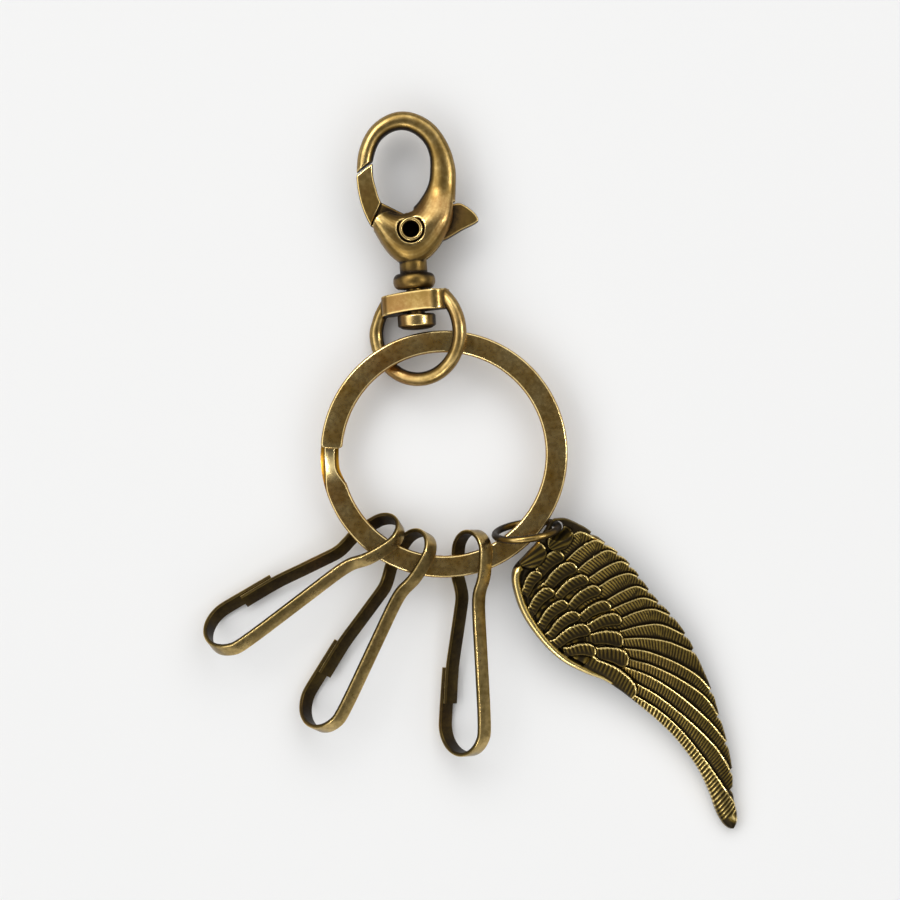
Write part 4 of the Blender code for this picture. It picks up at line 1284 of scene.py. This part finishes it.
@dataclass
class WingCharm:
    """Cast wing: flight feathers with barbs, rounded coverts and a smooth leading rim.

    The tables give places as shares of the wing's length and width, from the hole's end. Each ridge runs from
    its feather's root to its tip. A rim's pair is the share at which it starts or ends and its fade.
    """

    hole: Vector
    length: float = 50.0 * MM
    width: float = 18.4 * MM
    plate: float = 1.0 * MM
    edge_share: float = 0.62
    dome: float = 0.55 * MM
    seat: float = 0.9 * MM
    plan_angle: float = radians(-60.0)
    hole_radius: float = 0.80 * MM
    hole_inset: float = 0.5 * MM
    hole_offset: float = 0.7 * MM
    hole_shift: Vector = field(default_factory=lambda: Vector((-0.03, -0.075, 0)) * MM)
    drill_reach: float = 4.0 * MM
    dish_radius: float = 0.9 * MM
    dish_slope: float = 1.1 * MM
    shoulder: float = 0.32 * MM
    feather_step: float = 0.34 * MM
    comb_reach: float = 3.3 * MM
    comb_least: float = 0.2 * MM
    ridge: float = 0.13 * MM
    ridge_width: float = 0.135 * MM
    ridge_inset: float = 0.08 * MM
    barb_pitch: float = 0.46 * MM
    comb_pitch: float = 0.57 * MM
    barb_depth: float = 0.065 * MM
    barb_slant: float = 0.30
    barb_start: float = 0.20 * MM
    barb_fade: float = 0.10 * MM
    covert_level: float = 0.32 * MM
    layer_rise: float = 0.15 * MM
    covert_tilt: float = 0.12 * MM
    covert_swell: float = 0.12 * MM
    covert_taper: float = 0.22
    covert_rim: float = 0.09 * MM
    covert_barb_start: float = 0.16 * MM
    shadow_reach: float = 0.22 * MM
    shadow_depth: float = 0.12 * MM
    shadow_wear: float = 0.75
    vane_wear: float = 0.12
    ridge_wear: float = 0.88
    barb_wear: float = 0.50
    comb_wear: float = 0.58
    rim_radius: float = 0.50 * MM
    rim_level: float = 0.40 * MM
    rim_span: Pair = (0.03, 0.52)
    rim_root: Pair = (0.050, 0.014)
    rim_end: Pair = (0.475, 0.10)
    groove_depth: float = 0.16 * MM
    groove_width: float = 0.20 * MM
    edge_wear_width: float = 0.16 * MM
    trail_wear: float = 0.30
    lead_wear: float = 0.42
    lead_wear_start: float = 0.56
    back_wear: float = 0.2
    scallop: float = 0.42 * MM
    scallop_ahead: float = 0.022
    scallop_behind: float = 0.006
    margin: float = 0.01
    cell: float = 0.086 * MM
    lead_edge: tuple[Pair, ...] = (
        (-0.014, 0.0), (0.0, -0.065), (0.02, -0.175), (0.034, -0.30), (0.050, -0.42), (0.085, -0.488),
        (0.153, -0.535), (0.218, -0.538), (0.29, -0.508), (0.354, -0.448), (0.413, -0.344), (0.455, -0.251),
        (0.502, -0.182), (0.562, -0.116), (0.638, -0.042), (0.715, 0.012), (0.807, 0.040), (0.883, 0.028),
        (0.941, 0.000), (0.975, -0.006), (0.996, 0.002), (1.009, 0.020), (1.014, 0.046),
    )
    trail_edge: tuple[Pair, ...] = (
        (-0.014, 0.045), (0.0, 0.115), (0.02, 0.16), (0.034, 0.185), (0.05, 0.213), (0.072, 0.240),
        (0.119, 0.294), (0.162, 0.342), (0.209, 0.376), (0.251, 0.392), (0.3, 0.405), (0.343, 0.425),
        (0.39, 0.457), (0.46, 0.48),
        (0.523, 0.472), (0.634, 0.440), (0.709, 0.393), (0.79, 0.341), (0.867, 0.268), (0.913, 0.200),
        (0.95, 0.158), (0.978, 0.136), (0.998, 0.108), (1.009, 0.080), (1.014, 0.052),
    )
    ridges: tuple[tuple[Pair, ...], ...] = (
        ((0.059, -0.065), (0.05, 0.047), (0.051, 0.162), (0.077, 0.218)),
        ((0.1, -0.03), (0.09, 0.092), (0.093, 0.23), (0.122, 0.29)),
        ((0.141, -0.006), (0.133, 0.112), (0.135, 0.27), (0.165, 0.338)),
        ((0.177, 0.043), (0.174, 0.19), (0.182, 0.321), (0.211, 0.372)),
        ((0.213, 0.058), (0.211, 0.203), (0.223, 0.328), (0.252, 0.388)),
        ((0.257, 0.079), (0.257, 0.203), (0.266, 0.331), (0.301, 0.401)),
        ((0.287, 0.084), (0.293, 0.218), (0.306, 0.34), (0.344, 0.422)),
        ((0.323, 0.099), (0.329, 0.232), (0.348, 0.362), (0.392, 0.453)),
        ((0.356, 0.079), (0.369, 0.205), (0.398, 0.355), (0.462, 0.476)),
        ((0.379, 0.055), (0.405, 0.184), (0.448, 0.33), (0.512, 0.461)),
        ((0.407, 0.03), (0.444, 0.158), (0.511, 0.303), (0.581, 0.405), (0.637, 0.434)),
        ((0.433, -0.002), (0.484, 0.131), (0.557, 0.266), (0.639, 0.368), (0.712, 0.387)),
        ((0.46, -0.03), (0.513, 0.085), (0.597, 0.202), (0.704, 0.302), (0.79, 0.341)),
        ((0.495, -0.061), (0.574, 0.061), (0.683, 0.175), (0.784, 0.248), (0.867, 0.256)),
        ((0.537, -0.095), (0.608, 0.007), (0.696, 0.083), (0.804, 0.127), (0.914, 0.151)),
    )
    coverts: tuple[Covert, ...] = (
        Covert((0.097, -0.275), (0.081, -0.036), 0.055, 1),
        Covert((0.14, -0.257), (0.129, 0.007), 0.057, 1),
        Covert((0.18, -0.228), (0.177, 0.038), 0.048, 1),
        Covert((0.226, -0.194), (0.22, 0.078), 0.049, 1),
        Covert((0.268, -0.161), (0.275, 0.086), 0.049, 1),
        Covert((0.303, -0.14), (0.326, 0.104), 0.051, 1),
        Covert((0.333, -0.174), (0.385, 0.03), 0.060, 1),
        Covert((0.378, -0.187), (0.443, -0.017), 0.065, 1),
        Covert((0.121, -0.42), (0.094, -0.257), 0.048, 2),
        Covert((0.178, -0.46), (0.155, -0.239), 0.051, 2),
        Covert((0.229, -0.455), (0.206, -0.193), 0.049, 2),
        Covert((0.265, -0.423), (0.252, -0.159), 0.048, 2),
        Covert((0.295, -0.42), (0.304, -0.144), 0.055, 2),
        Covert((0.332, -0.374), (0.37, -0.191), 0.051, 2),
        Covert((0.401, -0.258), (0.54, -0.121), 0.074, 2),
        Covert((0.046, -0.360), (0.036, -0.130), 0.092, 3, 0.0, True),
        Covert((0.046, -0.105), (0.036, 0.110), 0.080, 3, 0.0, True),
    )

    def points(self, shares: Sequence[Pair]) -> np.ndarray:
        """Shares of the wing as places in metres."""
        return np.array(shares) * (self.length, self.width)

    @staticmethod
    def curve(points: np.ndarray, steps: int = 6, beyond: float = 3 * MM) -> np.ndarray:
        """Smooth line through places, carried on straight past both ends."""
        path = np.array([tuple(p)[:2] for p in smooth_path(flat(points), steps)])
        ahead = path[-1] + (path[-1] - path[-2]) * (beyond / np.linalg.norm(path[-1] - path[-2]))
        behind = path[0] + (path[0] - path[1]) * (beyond / np.linalg.norm(path[0] - path[1]))
        return np.vstack([behind, path, ahead])

    @staticmethod
    def distance(line: np.ndarray, x: np.ndarray, y: np.ndarray) -> tuple[np.ndarray, np.ndarray]:
        """Signed distance to a line, plus towards the wing's tip, and the length along it.

        Args:
            line: The line's places.
            x: Places along the wing.
            y: Places across the wing.

        Returns:
            The signed distances and the lengths.
        """
        best, side, along = np.full(x.shape, 1e9), np.zeros(x.shape), np.zeros(x.shape)
        run = 0.0
        for (x0, y0), (x1, y1) in zip(line, line[1:]):
            dx, dy = x1 - x0, y1 - y0
            size = np.hypot(dx, dy)
            t = np.clip(((x - x0) * dx + (y - y0) * dy) / size**2, 0, 1)
            away = np.hypot(x - x0 - t * dx, y - y0 - t * dy)
            near = away < best
            best[near] = away[near]
            side[near] = np.sign((x - x0) * dy - (y - y0) * dx)[near]
            along[near] = (run + t * size)[near]
            run += size
        return best * side, along

    @staticmethod
    def bump(away: np.ndarray, width: float) -> np.ndarray:
        """1 at no distance, falling off in a bell over a width."""
        return np.exp(-((away / width) ** 2))

    @staticmethod
    def round_over(share: np.ndarray) -> np.ndarray:
        """Height of a quarter round, 1 at a share of 0 and 0 at a share of 1 either way."""
        return np.sqrt(np.clip(1 - share**2, 0, 1))

    @staticmethod
    def barbs(along: np.ndarray, aside: np.ndarray, pitch: float, slant: float) -> np.ndarray:
        """Fine ribs from 0 to 1, a little uneven as a hand-cut die leaves them."""
        phase = (along - slant * aside) / pitch
        return (0.5 + 0.5 * np.sin(FULL_TURN * (phase + 0.10 * np.sin(0.9 * phase)))) ** 1.9

    def flight_feathers(self, x: np.ndarray, y: np.ndarray) -> Relief:
        """Flight feathers over the plate, each with a bright ridge, fine barbs and painted shadow where it
        meets the next feather.
        """
        found = [self.distance(self.curve(self.points(line)), x, y) for line in self.ridges]
        height = np.full(x.shape, 0.5 * self.feather_step)
        wear_and_shade = np.full(x.shape, self.vane_wear)
        last = len(found) - 1
        for i, (below, along) in enumerate(found):
            comb = i == last
            to_next = np.maximum(self.comb_reach - below, self.comb_least) if comb else -found[i + 1][0]
            inside = (below >= 0) & (to_next > 0)
            share = np.clip(below / np.maximum(below + to_next, 1e-6), 0, 1)
            ridge = self.bump(below - self.ridge_inset, self.ridge_width)
            ribs = self.barbs(along, below, self.comb_pitch if comb else self.barb_pitch, self.barb_slant)
            ribs *= np.clip((below - self.barb_start) / self.barb_fade, 0, 1)
            ribs *= np.clip(3.0 * (1 - share), 0, 1)
            vane = self.feather_step * (1 - share**1.6)
            height[inside] = (vane + self.ridge * ridge + self.barb_depth * ribs)[inside]
            shine = self.comb_wear if comb else self.barb_wear * (1 - 0.6 * share)
            # Painted shadow: the vane's colour darkens where it runs up to the next feather.
            base = self.vane_wear * (1 - np.clip(4 * share - 3, 0, 1))
            wear_and_shade[inside] = (base + self.ridge_wear * ridge + shine * ribs)[inside]
        return Relief(height, wear_and_shade)

    def covert(self, covert: Covert, x: np.ndarray, y: np.ndarray) -> Relief:
        """One covert over the plate; outside it the height says how near it is, from 0 to -1."""
        base, tip = self.points([covert.base, covert.tip])
        span = tip - base
        size = np.hypot(*span)
        ux, uy = span / size
        s = (x - base[0]) * ux + (y - base[1]) * uy
        t = (x - base[0]) * uy - (y - base[1]) * ux
        t = t + covert.bend * size * np.sin(pi * np.clip(s / size, 0, 1))
        half = covert.half_width * self.width
        if covert.shell:
            reach = half * self.round_over(2 * s / size - 1)
            ribs = 0.6 * self.barbs(2.2 * half * np.arctan2(t, s + 0.3 * size), t, 1.4 * self.comb_pitch, 0.0)
        else:
            tip_start = size - 0.95 * half
            body = half * (1 - self.covert_taper + self.covert_taper * np.clip(s / tip_start, 0, 1))
            nose = half * self.round_over((s - tip_start) / (size - tip_start))
            reach = np.where(s > tip_start, nose, body)
            ribs = self.barbs(s, t + half, self.comb_pitch, self.barb_slant)
            ribs *= np.clip(1.05 - 0.62 * (t / half + 1), 0, 1)
        inset = np.minimum(reach - np.abs(t), size - s)
        ribs *= np.clip((inset - self.covert_barb_start) / self.barb_fade, 0, 1)
        swell = self.round_over(t / np.maximum(reach, 1e-6))
        upper = np.clip(0.50 - 0.9 * t / half + 1.3 * np.clip(s / size - 0.6, 0, 1), 0.16, 1)
        rim = upper * self.bump(inset - self.covert_rim, self.ridge_width)
        level = self.covert_level + self.layer_rise * covert.layer + self.covert_tilt * s / size
        height = level + self.covert_swell * swell + self.ridge * rim + self.barb_depth * ribs
        wear_and_shade = self.vane_wear + self.ridge_wear * rim + self.comb_wear * ribs
        beside = self.bump(np.maximum(-inset, 0), self.shadow_reach) * (s > -0.5 * half)
        inside = (inset > 0) & (s > -0.8 * half)
        return Relief(np.where(inside, height, -beside), wear_and_shade)

    def leading_rim(self, x: np.ndarray, y: np.ndarray, place: np.ndarray) -> Relief:
        """Smooth tube along the leading edge, with a groove inside it."""
        first, last = self.rim_span
        line = self.points([spot for spot in self.lead_edge if first <= spot[0] <= last])
        inward = np.abs(self.distance(self.curve(line), x, y)[0])
        (root, root_fade), (end, end_fade) = self.rim_root, self.rim_end
        fade = np.clip((place - root) / root_fade, 0, 1) * np.clip((end - place) / end_fade, 0, 1)
        radius = self.rim_radius * (0.45 + 0.55 * fade) * (1.12 - 0.9 * np.clip(place - 0.2, 0, 0.3))
        tube = self.round_over((inward - radius) / radius)
        groove = self.bump(inward - 2.3 * radius, self.groove_width) * fade
        on_tube = (inward < 2 * radius) & (fade > 0)
        height = np.where(on_tube, self.rim_level * (1 + tube * fade**0.5), -self.groove_depth * groove)
        wear_and_shade = np.where(on_tube, 0.38 + 0.58 * self.bump(inward - 0.9 * radius, 0.55 * radius), -0.2 * groove)
        return Relief(height, wear_and_shade)

    def face(self, x: np.ndarray, y: np.ndarray, lead: np.ndarray, trail: np.ndarray) -> Relief:
        """Height of the wing's face over its flat back, and its wear and painted shade.

        Args:
            x: Places along the wing.
            y: Places across the wing.
            lead: Leading edge beside each place.
            trail: Trailing edge beside each place.

        Returns:
            The relief.
        """
        place = x / self.length
        relief = self.flight_feathers(x, y)
        for covert in sorted(self.coverts, key=lambda covert: covert.layer):
            over = self.covert(covert, x, y)
            beside = np.maximum(-over.height, 0)
            covered = over.height > relief.height
            relief = Relief(
                np.where(covered, over.height, relief.height - self.shadow_depth * beside),
                np.where(covered, over.wear_and_shade, relief.wear_and_shade * (1 - self.shadow_wear * beside)),
            )
        rim = self.leading_rim(x, y, place)
        on_rim = rim.height > 0
        height = np.where(on_rim, rim.height, relief.height + rim.height)
        wear_and_shade = np.where(on_rim, rim.wear_and_shade, relief.wear_and_shade + rim.wear_and_shade)
        inset = self.border_inset(x, y)
        across = np.clip((y - lead) / np.maximum(trail - lead, 1e-6), 0, 1)
        worn_lead = (across < 0.5) & (place > self.lead_wear_start)
        worn = self.trail_wear * (across > 0.5) + self.lead_wear * worn_lead
        wear_and_shade += worn * self.bump(inset, self.edge_wear_width)
        away = np.hypot(x - self.hole_inset, y - self.hole_offset)
        dish = np.clip((away - self.dish_radius) / self.dish_slope, 0, 1)
        shoulder = self.round_over(1 - np.clip(inset / self.shoulder, 0, 1))
        raised = self.dome * np.sin(pi * across) ** 0.7 + height * (0.35 + 0.65 * shoulder)
        height = self.plate * (self.edge_share + (1 - self.edge_share) * shoulder) + raised * dish
        return Relief(height, np.clip(wear_and_shade, 0, 1))

    def border_inset(self, x: np.ndarray, y: np.ndarray, count: int = 400) -> np.ndarray:
        """Distance of each place to the wing's border."""
        rows = np.linspace(self.lead_edge[0][0], self.lead_edge[-1][0], count)
        leads, trails = self.outline(rows)
        border = np.vstack([np.stack([rows, leads], 1), np.stack([rows, trails], 1)[::-1]]) * (self.length, 1)
        return np.abs(self.distance(np.vstack([border, border[:1]]), x, y)[0])

    def edge(self, spots: Sequence[Pair], place: np.ndarray) -> np.ndarray:
        """Smooth edge through a table's shares."""
        path = smooth_path(flat(spots), 8)
        return np.interp(place, [p.x for p in path], [p.y for p in path]) * self.width

    def outline(self, place: np.ndarray) -> tuple[np.ndarray, np.ndarray]:
        """Leading and trailing edges at shares along the wing, the trailing one scalloped by the tips."""
        dip = np.zeros_like(place)
        for tip in (line[-1][0] for line in self.ridges):
            ahead = np.clip((place - tip) / self.scallop_ahead, 0, 1)
            behind = np.clip((tip - place) / self.scallop_behind, 0, 1)
            dip = np.maximum(dip, np.where(place < tip, 1 - behind**2, (1 - ahead) ** 2))
        return self.edge(self.lead_edge, place), self.edge(self.trail_edge, place) - self.scallop * dip

    def build(self) -> None:
        """Builds the wing: a fine grid drawn in to the outline and raised, its walls, back and hole."""
        form = Form()
        shape = form.shape
        layer = shape.verts.layers.float.new("wear_and_shade")
        low, high = (self.lead_edge[i][0] * self.length for i in (0, -1))
        bottom = (min(y for _, y in self.lead_edge) - self.margin) * self.width
        top = (max(y for _, y in self.trail_edge) + self.margin) * self.width
        rows, columns = round((high - low) / self.cell), round((top - bottom) / self.cell)
        bmesh.ops.create_grid(shape, x_segments=rows, y_segments=columns, size=1.0)
        spots = (np.array([v.co[:2] for v in shape.verts]) + 1) / 2
        x, y = low + (high - low) * spots[:, 0], bottom + (top - bottom) * spots[:, 1]
        lead, trail = self.outline(x / self.length)
        outside = np.sign(y - np.clip(y, lead, trail)).astype(int).tolist()
        y = np.clip(y, lead, trail)
        relief = self.face(x, y, lead, trail)
        shape.verts.index_update()
        spare = [f for f in shape.faces if abs(sum(outside[v.index] for v in f.verts)) == 4]
        for vert, spot, value in zip(shape.verts, np.stack([x, y, relief.height], 1), relief.wear_and_shade):
            vert.co = spot
            vert[layer] = value
        bmesh.ops.delete(shape, geom=spare, context="FACES")
        bmesh.ops.remove_doubles(shape, verts=shape.verts, dist=MERGE_DISTANCE)
        border = [e for e in shape.edges if e.is_boundary]
        made = bmesh.ops.extrude_edge_only(shape, edges=border)["geom"]
        for vert in only(made, bmesh.types.BMVert):
            vert.co.z = 0.0
            vert[layer] = self.back_wear
        edges = [e for e in only(made, bmesh.types.BMEdge) if e.is_boundary]
        bmesh.ops.contextual_create(shape, geom=edges)
        bmesh.ops.triangulate(shape, faces=[f for f in shape.faces if len(f.verts) > 4])
        mesh = form.mesh("wing")
        mesh.transform(Matrix.Translation((-self.hole_inset, -self.hole_offset, -self.seat)))
        drill = Form().turn(rod(self.hole_radius, -self.drill_reach, self.drill_reach)).helper("drill")
        drill.location = self.hole_shift
        mesh = carve(mesh, [("DIFFERENCE", drill)])
        dress(finish_piece("wing", mesh, Finish.RELIEF, self.frame(), face=None), "wing_charm", "wing_charm")

    def frame(self) -> Matrix:
        """Frame of the wing at its hole, sloping down to the table."""
        slope = asin((self.hole.z - self.seat) / self.length)
        level = Vector((cos(self.plan_angle), sin(self.plan_angle), 0))
        along = Vector((cos(self.plan_angle) * cos(slope), sin(self.plan_angle) * cos(slope), -sin(slope)))
        return Datum.frame(along, Vector((-level.y, level.x, 0)), self.hole)


# Studio


@dataclass(frozen=True)
class Lamp:
    """Soft rectangular lamp that faces the key holder.

    Attributes:
        name: The lamp's name.
        offset: Its place from the studio's centre.
        size: Its width.
        power: Its power in watts.
        stretch: Its height over its width.
        on_metal: Whether it shines in the metal, or else on the table.
    """

    name: str
    offset: Triple
    size: float
    power: float
    stretch: float = 1.0
    on_metal: bool = True

    def hang(self, centre: Vector) -> None:
        """Hangs the lamp and turns it to the studio's centre."""
        place, height = centre + Vector(self.offset), self.size * self.stretch
        data = bpy.data.lights.new(self.name, "AREA")
        data.shape, data.size, data.size_y, data.energy = "RECTANGLE", self.size, height, self.power
        lamp = bpy.data.objects.new(self.name, data)
        lamp.location = place
        lamp.visible_diffuse, lamp.visible_glossy = not self.on_metal, self.on_metal
        lamp.rotation_euler = (centre - place).to_track_quat("-Z", "Y").to_euler()
        bpy.context.scene.collection.objects.link(lamp)


@dataclass
class Studio:
    """Pale table, soft lamps and the camera straight above.

    The shift is the studio's centre from the split ring's, to the east and to the north. A band's pairs give
    the heights at which its edge starts and is full.
    """

    centre: Vector
    shift: Pair = (0.85 * MM, 0.57 * MM)
    view_width: float = 127.5 * MM
    lens: float = 100.0
    sensor: float = 36.0
    clip_range: Pair = (0.01, 10.0)
    table_size: float = 8.0
    paper: Colour = (0.86, 0.86, 0.87)
    overhead: float = 0.10
    band_low: Pair = (0.30, 0.55)
    band_high: Pair = (0.72, 0.92)
    band_dim: float = 0.85
    band_bright: float = 2.22
    bright_side: Pair = (-0.7, 0.7)
    bright_range: Pair = (-0.9, 0.9)
    warmth: float = 0.98
    lamps: tuple[Lamp, ...] = (
        Lamp("key", (-0.24, 0.30, 0.46), 0.13, 1.0),
        Lamp("fill", (0.40, 0.06, 0.38), 0.07, 0.6),
        Lamp("rim", (-0.12, -0.38, 0.34), 0.06, 0.4, 2.4),
        Lamp("wash", (-0.10, 0.16, 0.80), 1.1, 2.22, on_metal=False),
    )

    def camera(self) -> None:
        """Camera that looks straight down."""
        data = bpy.data.cameras.new("camera")
        data.lens, data.sensor_width = self.lens, self.sensor
        data.clip_start, data.clip_end = self.clip_range
        camera = bpy.data.objects.new("camera", data)
        camera.location = self.centre + Vector((0, 0, self.view_width * self.lens / self.sensor))
        bpy.context.scene.collection.objects.link(camera)
        bpy.context.scene.camera = camera

    def table(self) -> None:
        """Matt pale floor under the key holder."""
        shape = bmesh.new()
        bmesh.ops.create_grid(shape, x_segments=1, y_segments=1, size=self.table_size)
        mesh = bpy.data.meshes.new("table")
        shape.to_mesh(mesh)
        shape.free()
        paper = bpy.data.materials.new("pale_paper")
        Graph.on(paper, "Principled BSDF").set(Base_Color=self.paper, Roughness=0.9, Specular_IOR_Level=0.0)
        mesh.materials.append(paper)
        table = bpy.data.objects.new("table", mesh)
        bpy.context.scene.collection.objects.link(table)

    def world(self) -> None:
        """Soft tent: a bright band all round, brightest behind the hook, dark overhead and at the table."""
        world = bpy.data.worlds.new("tent")
        graph = Graph.on(world, "Background")
        coords = graph.node("ShaderNodeTexCoord", {}, {})
        split = graph.node("ShaderNodeSeparateXYZ", {}, {0: Value(graph, coords.outputs["Generated"])})
        east, north, up = (Value(graph, output) for output in split.outputs)
        band = up.between(*self.band_low) * (1 - up.between(*self.band_high))
        to_east, to_north = self.bright_side
        toward = (north * to_north + east * to_east).between(*self.bright_range)
        glow = self.overhead + band * (self.band_dim + toward * (self.band_bright - self.band_dim))
        grey = graph.node("ShaderNodeCombineColor", {}, {0: glow, 1: glow, 2: glow * self.warmth})
        graph.set(Color=Value(graph, grey.outputs["Color"]))
        bpy.context.scene.world = world

    def build(self) -> None:
        """Sets the studio up."""
        self.camera()
        self.table()
        self.world()
        for lamp in self.lamps:
            lamp.hang(self.centre)
        bpy.context.scene.view_settings.view_transform = "Standard"


def main() -> None:
    """Builds the key holder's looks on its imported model."""
    logging.basicConfig(level=logging.INFO, format="%(name)s: %(message)s")
    for obj in list(bpy.data.objects):
        bpy.data.objects.remove(obj)
    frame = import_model()
    datum = Datum({joint["name"]: joint for joint in frame["joints"]})
    hook = datum.hook()
    SnapHook(hook).build()
    SwivelEye(hook).build()
    SplitRing(datum.ring_centre()).build()
    for number in (1, 2, 3):
        KeyClip(number, datum.clip(number, KeyClip.roll)).build()
    JumpRing(datum.at("jump_ring_swing")).build()
    WingCharm(datum.at("wing_swing")).build()
    spring = frame["nodes"]["gate_spring"]
    spring.data.materials.clear()
    spring.data.materials.append(PAINT.material(Finish.WIRE))
    middle = datum.ring_centre()
    east, north = Studio.shift
    Studio(Vector((middle.x + east, middle.y + north, middle.z))).build()
    LOG.info("sizes written")


if __name__ == "__main__":
    main()
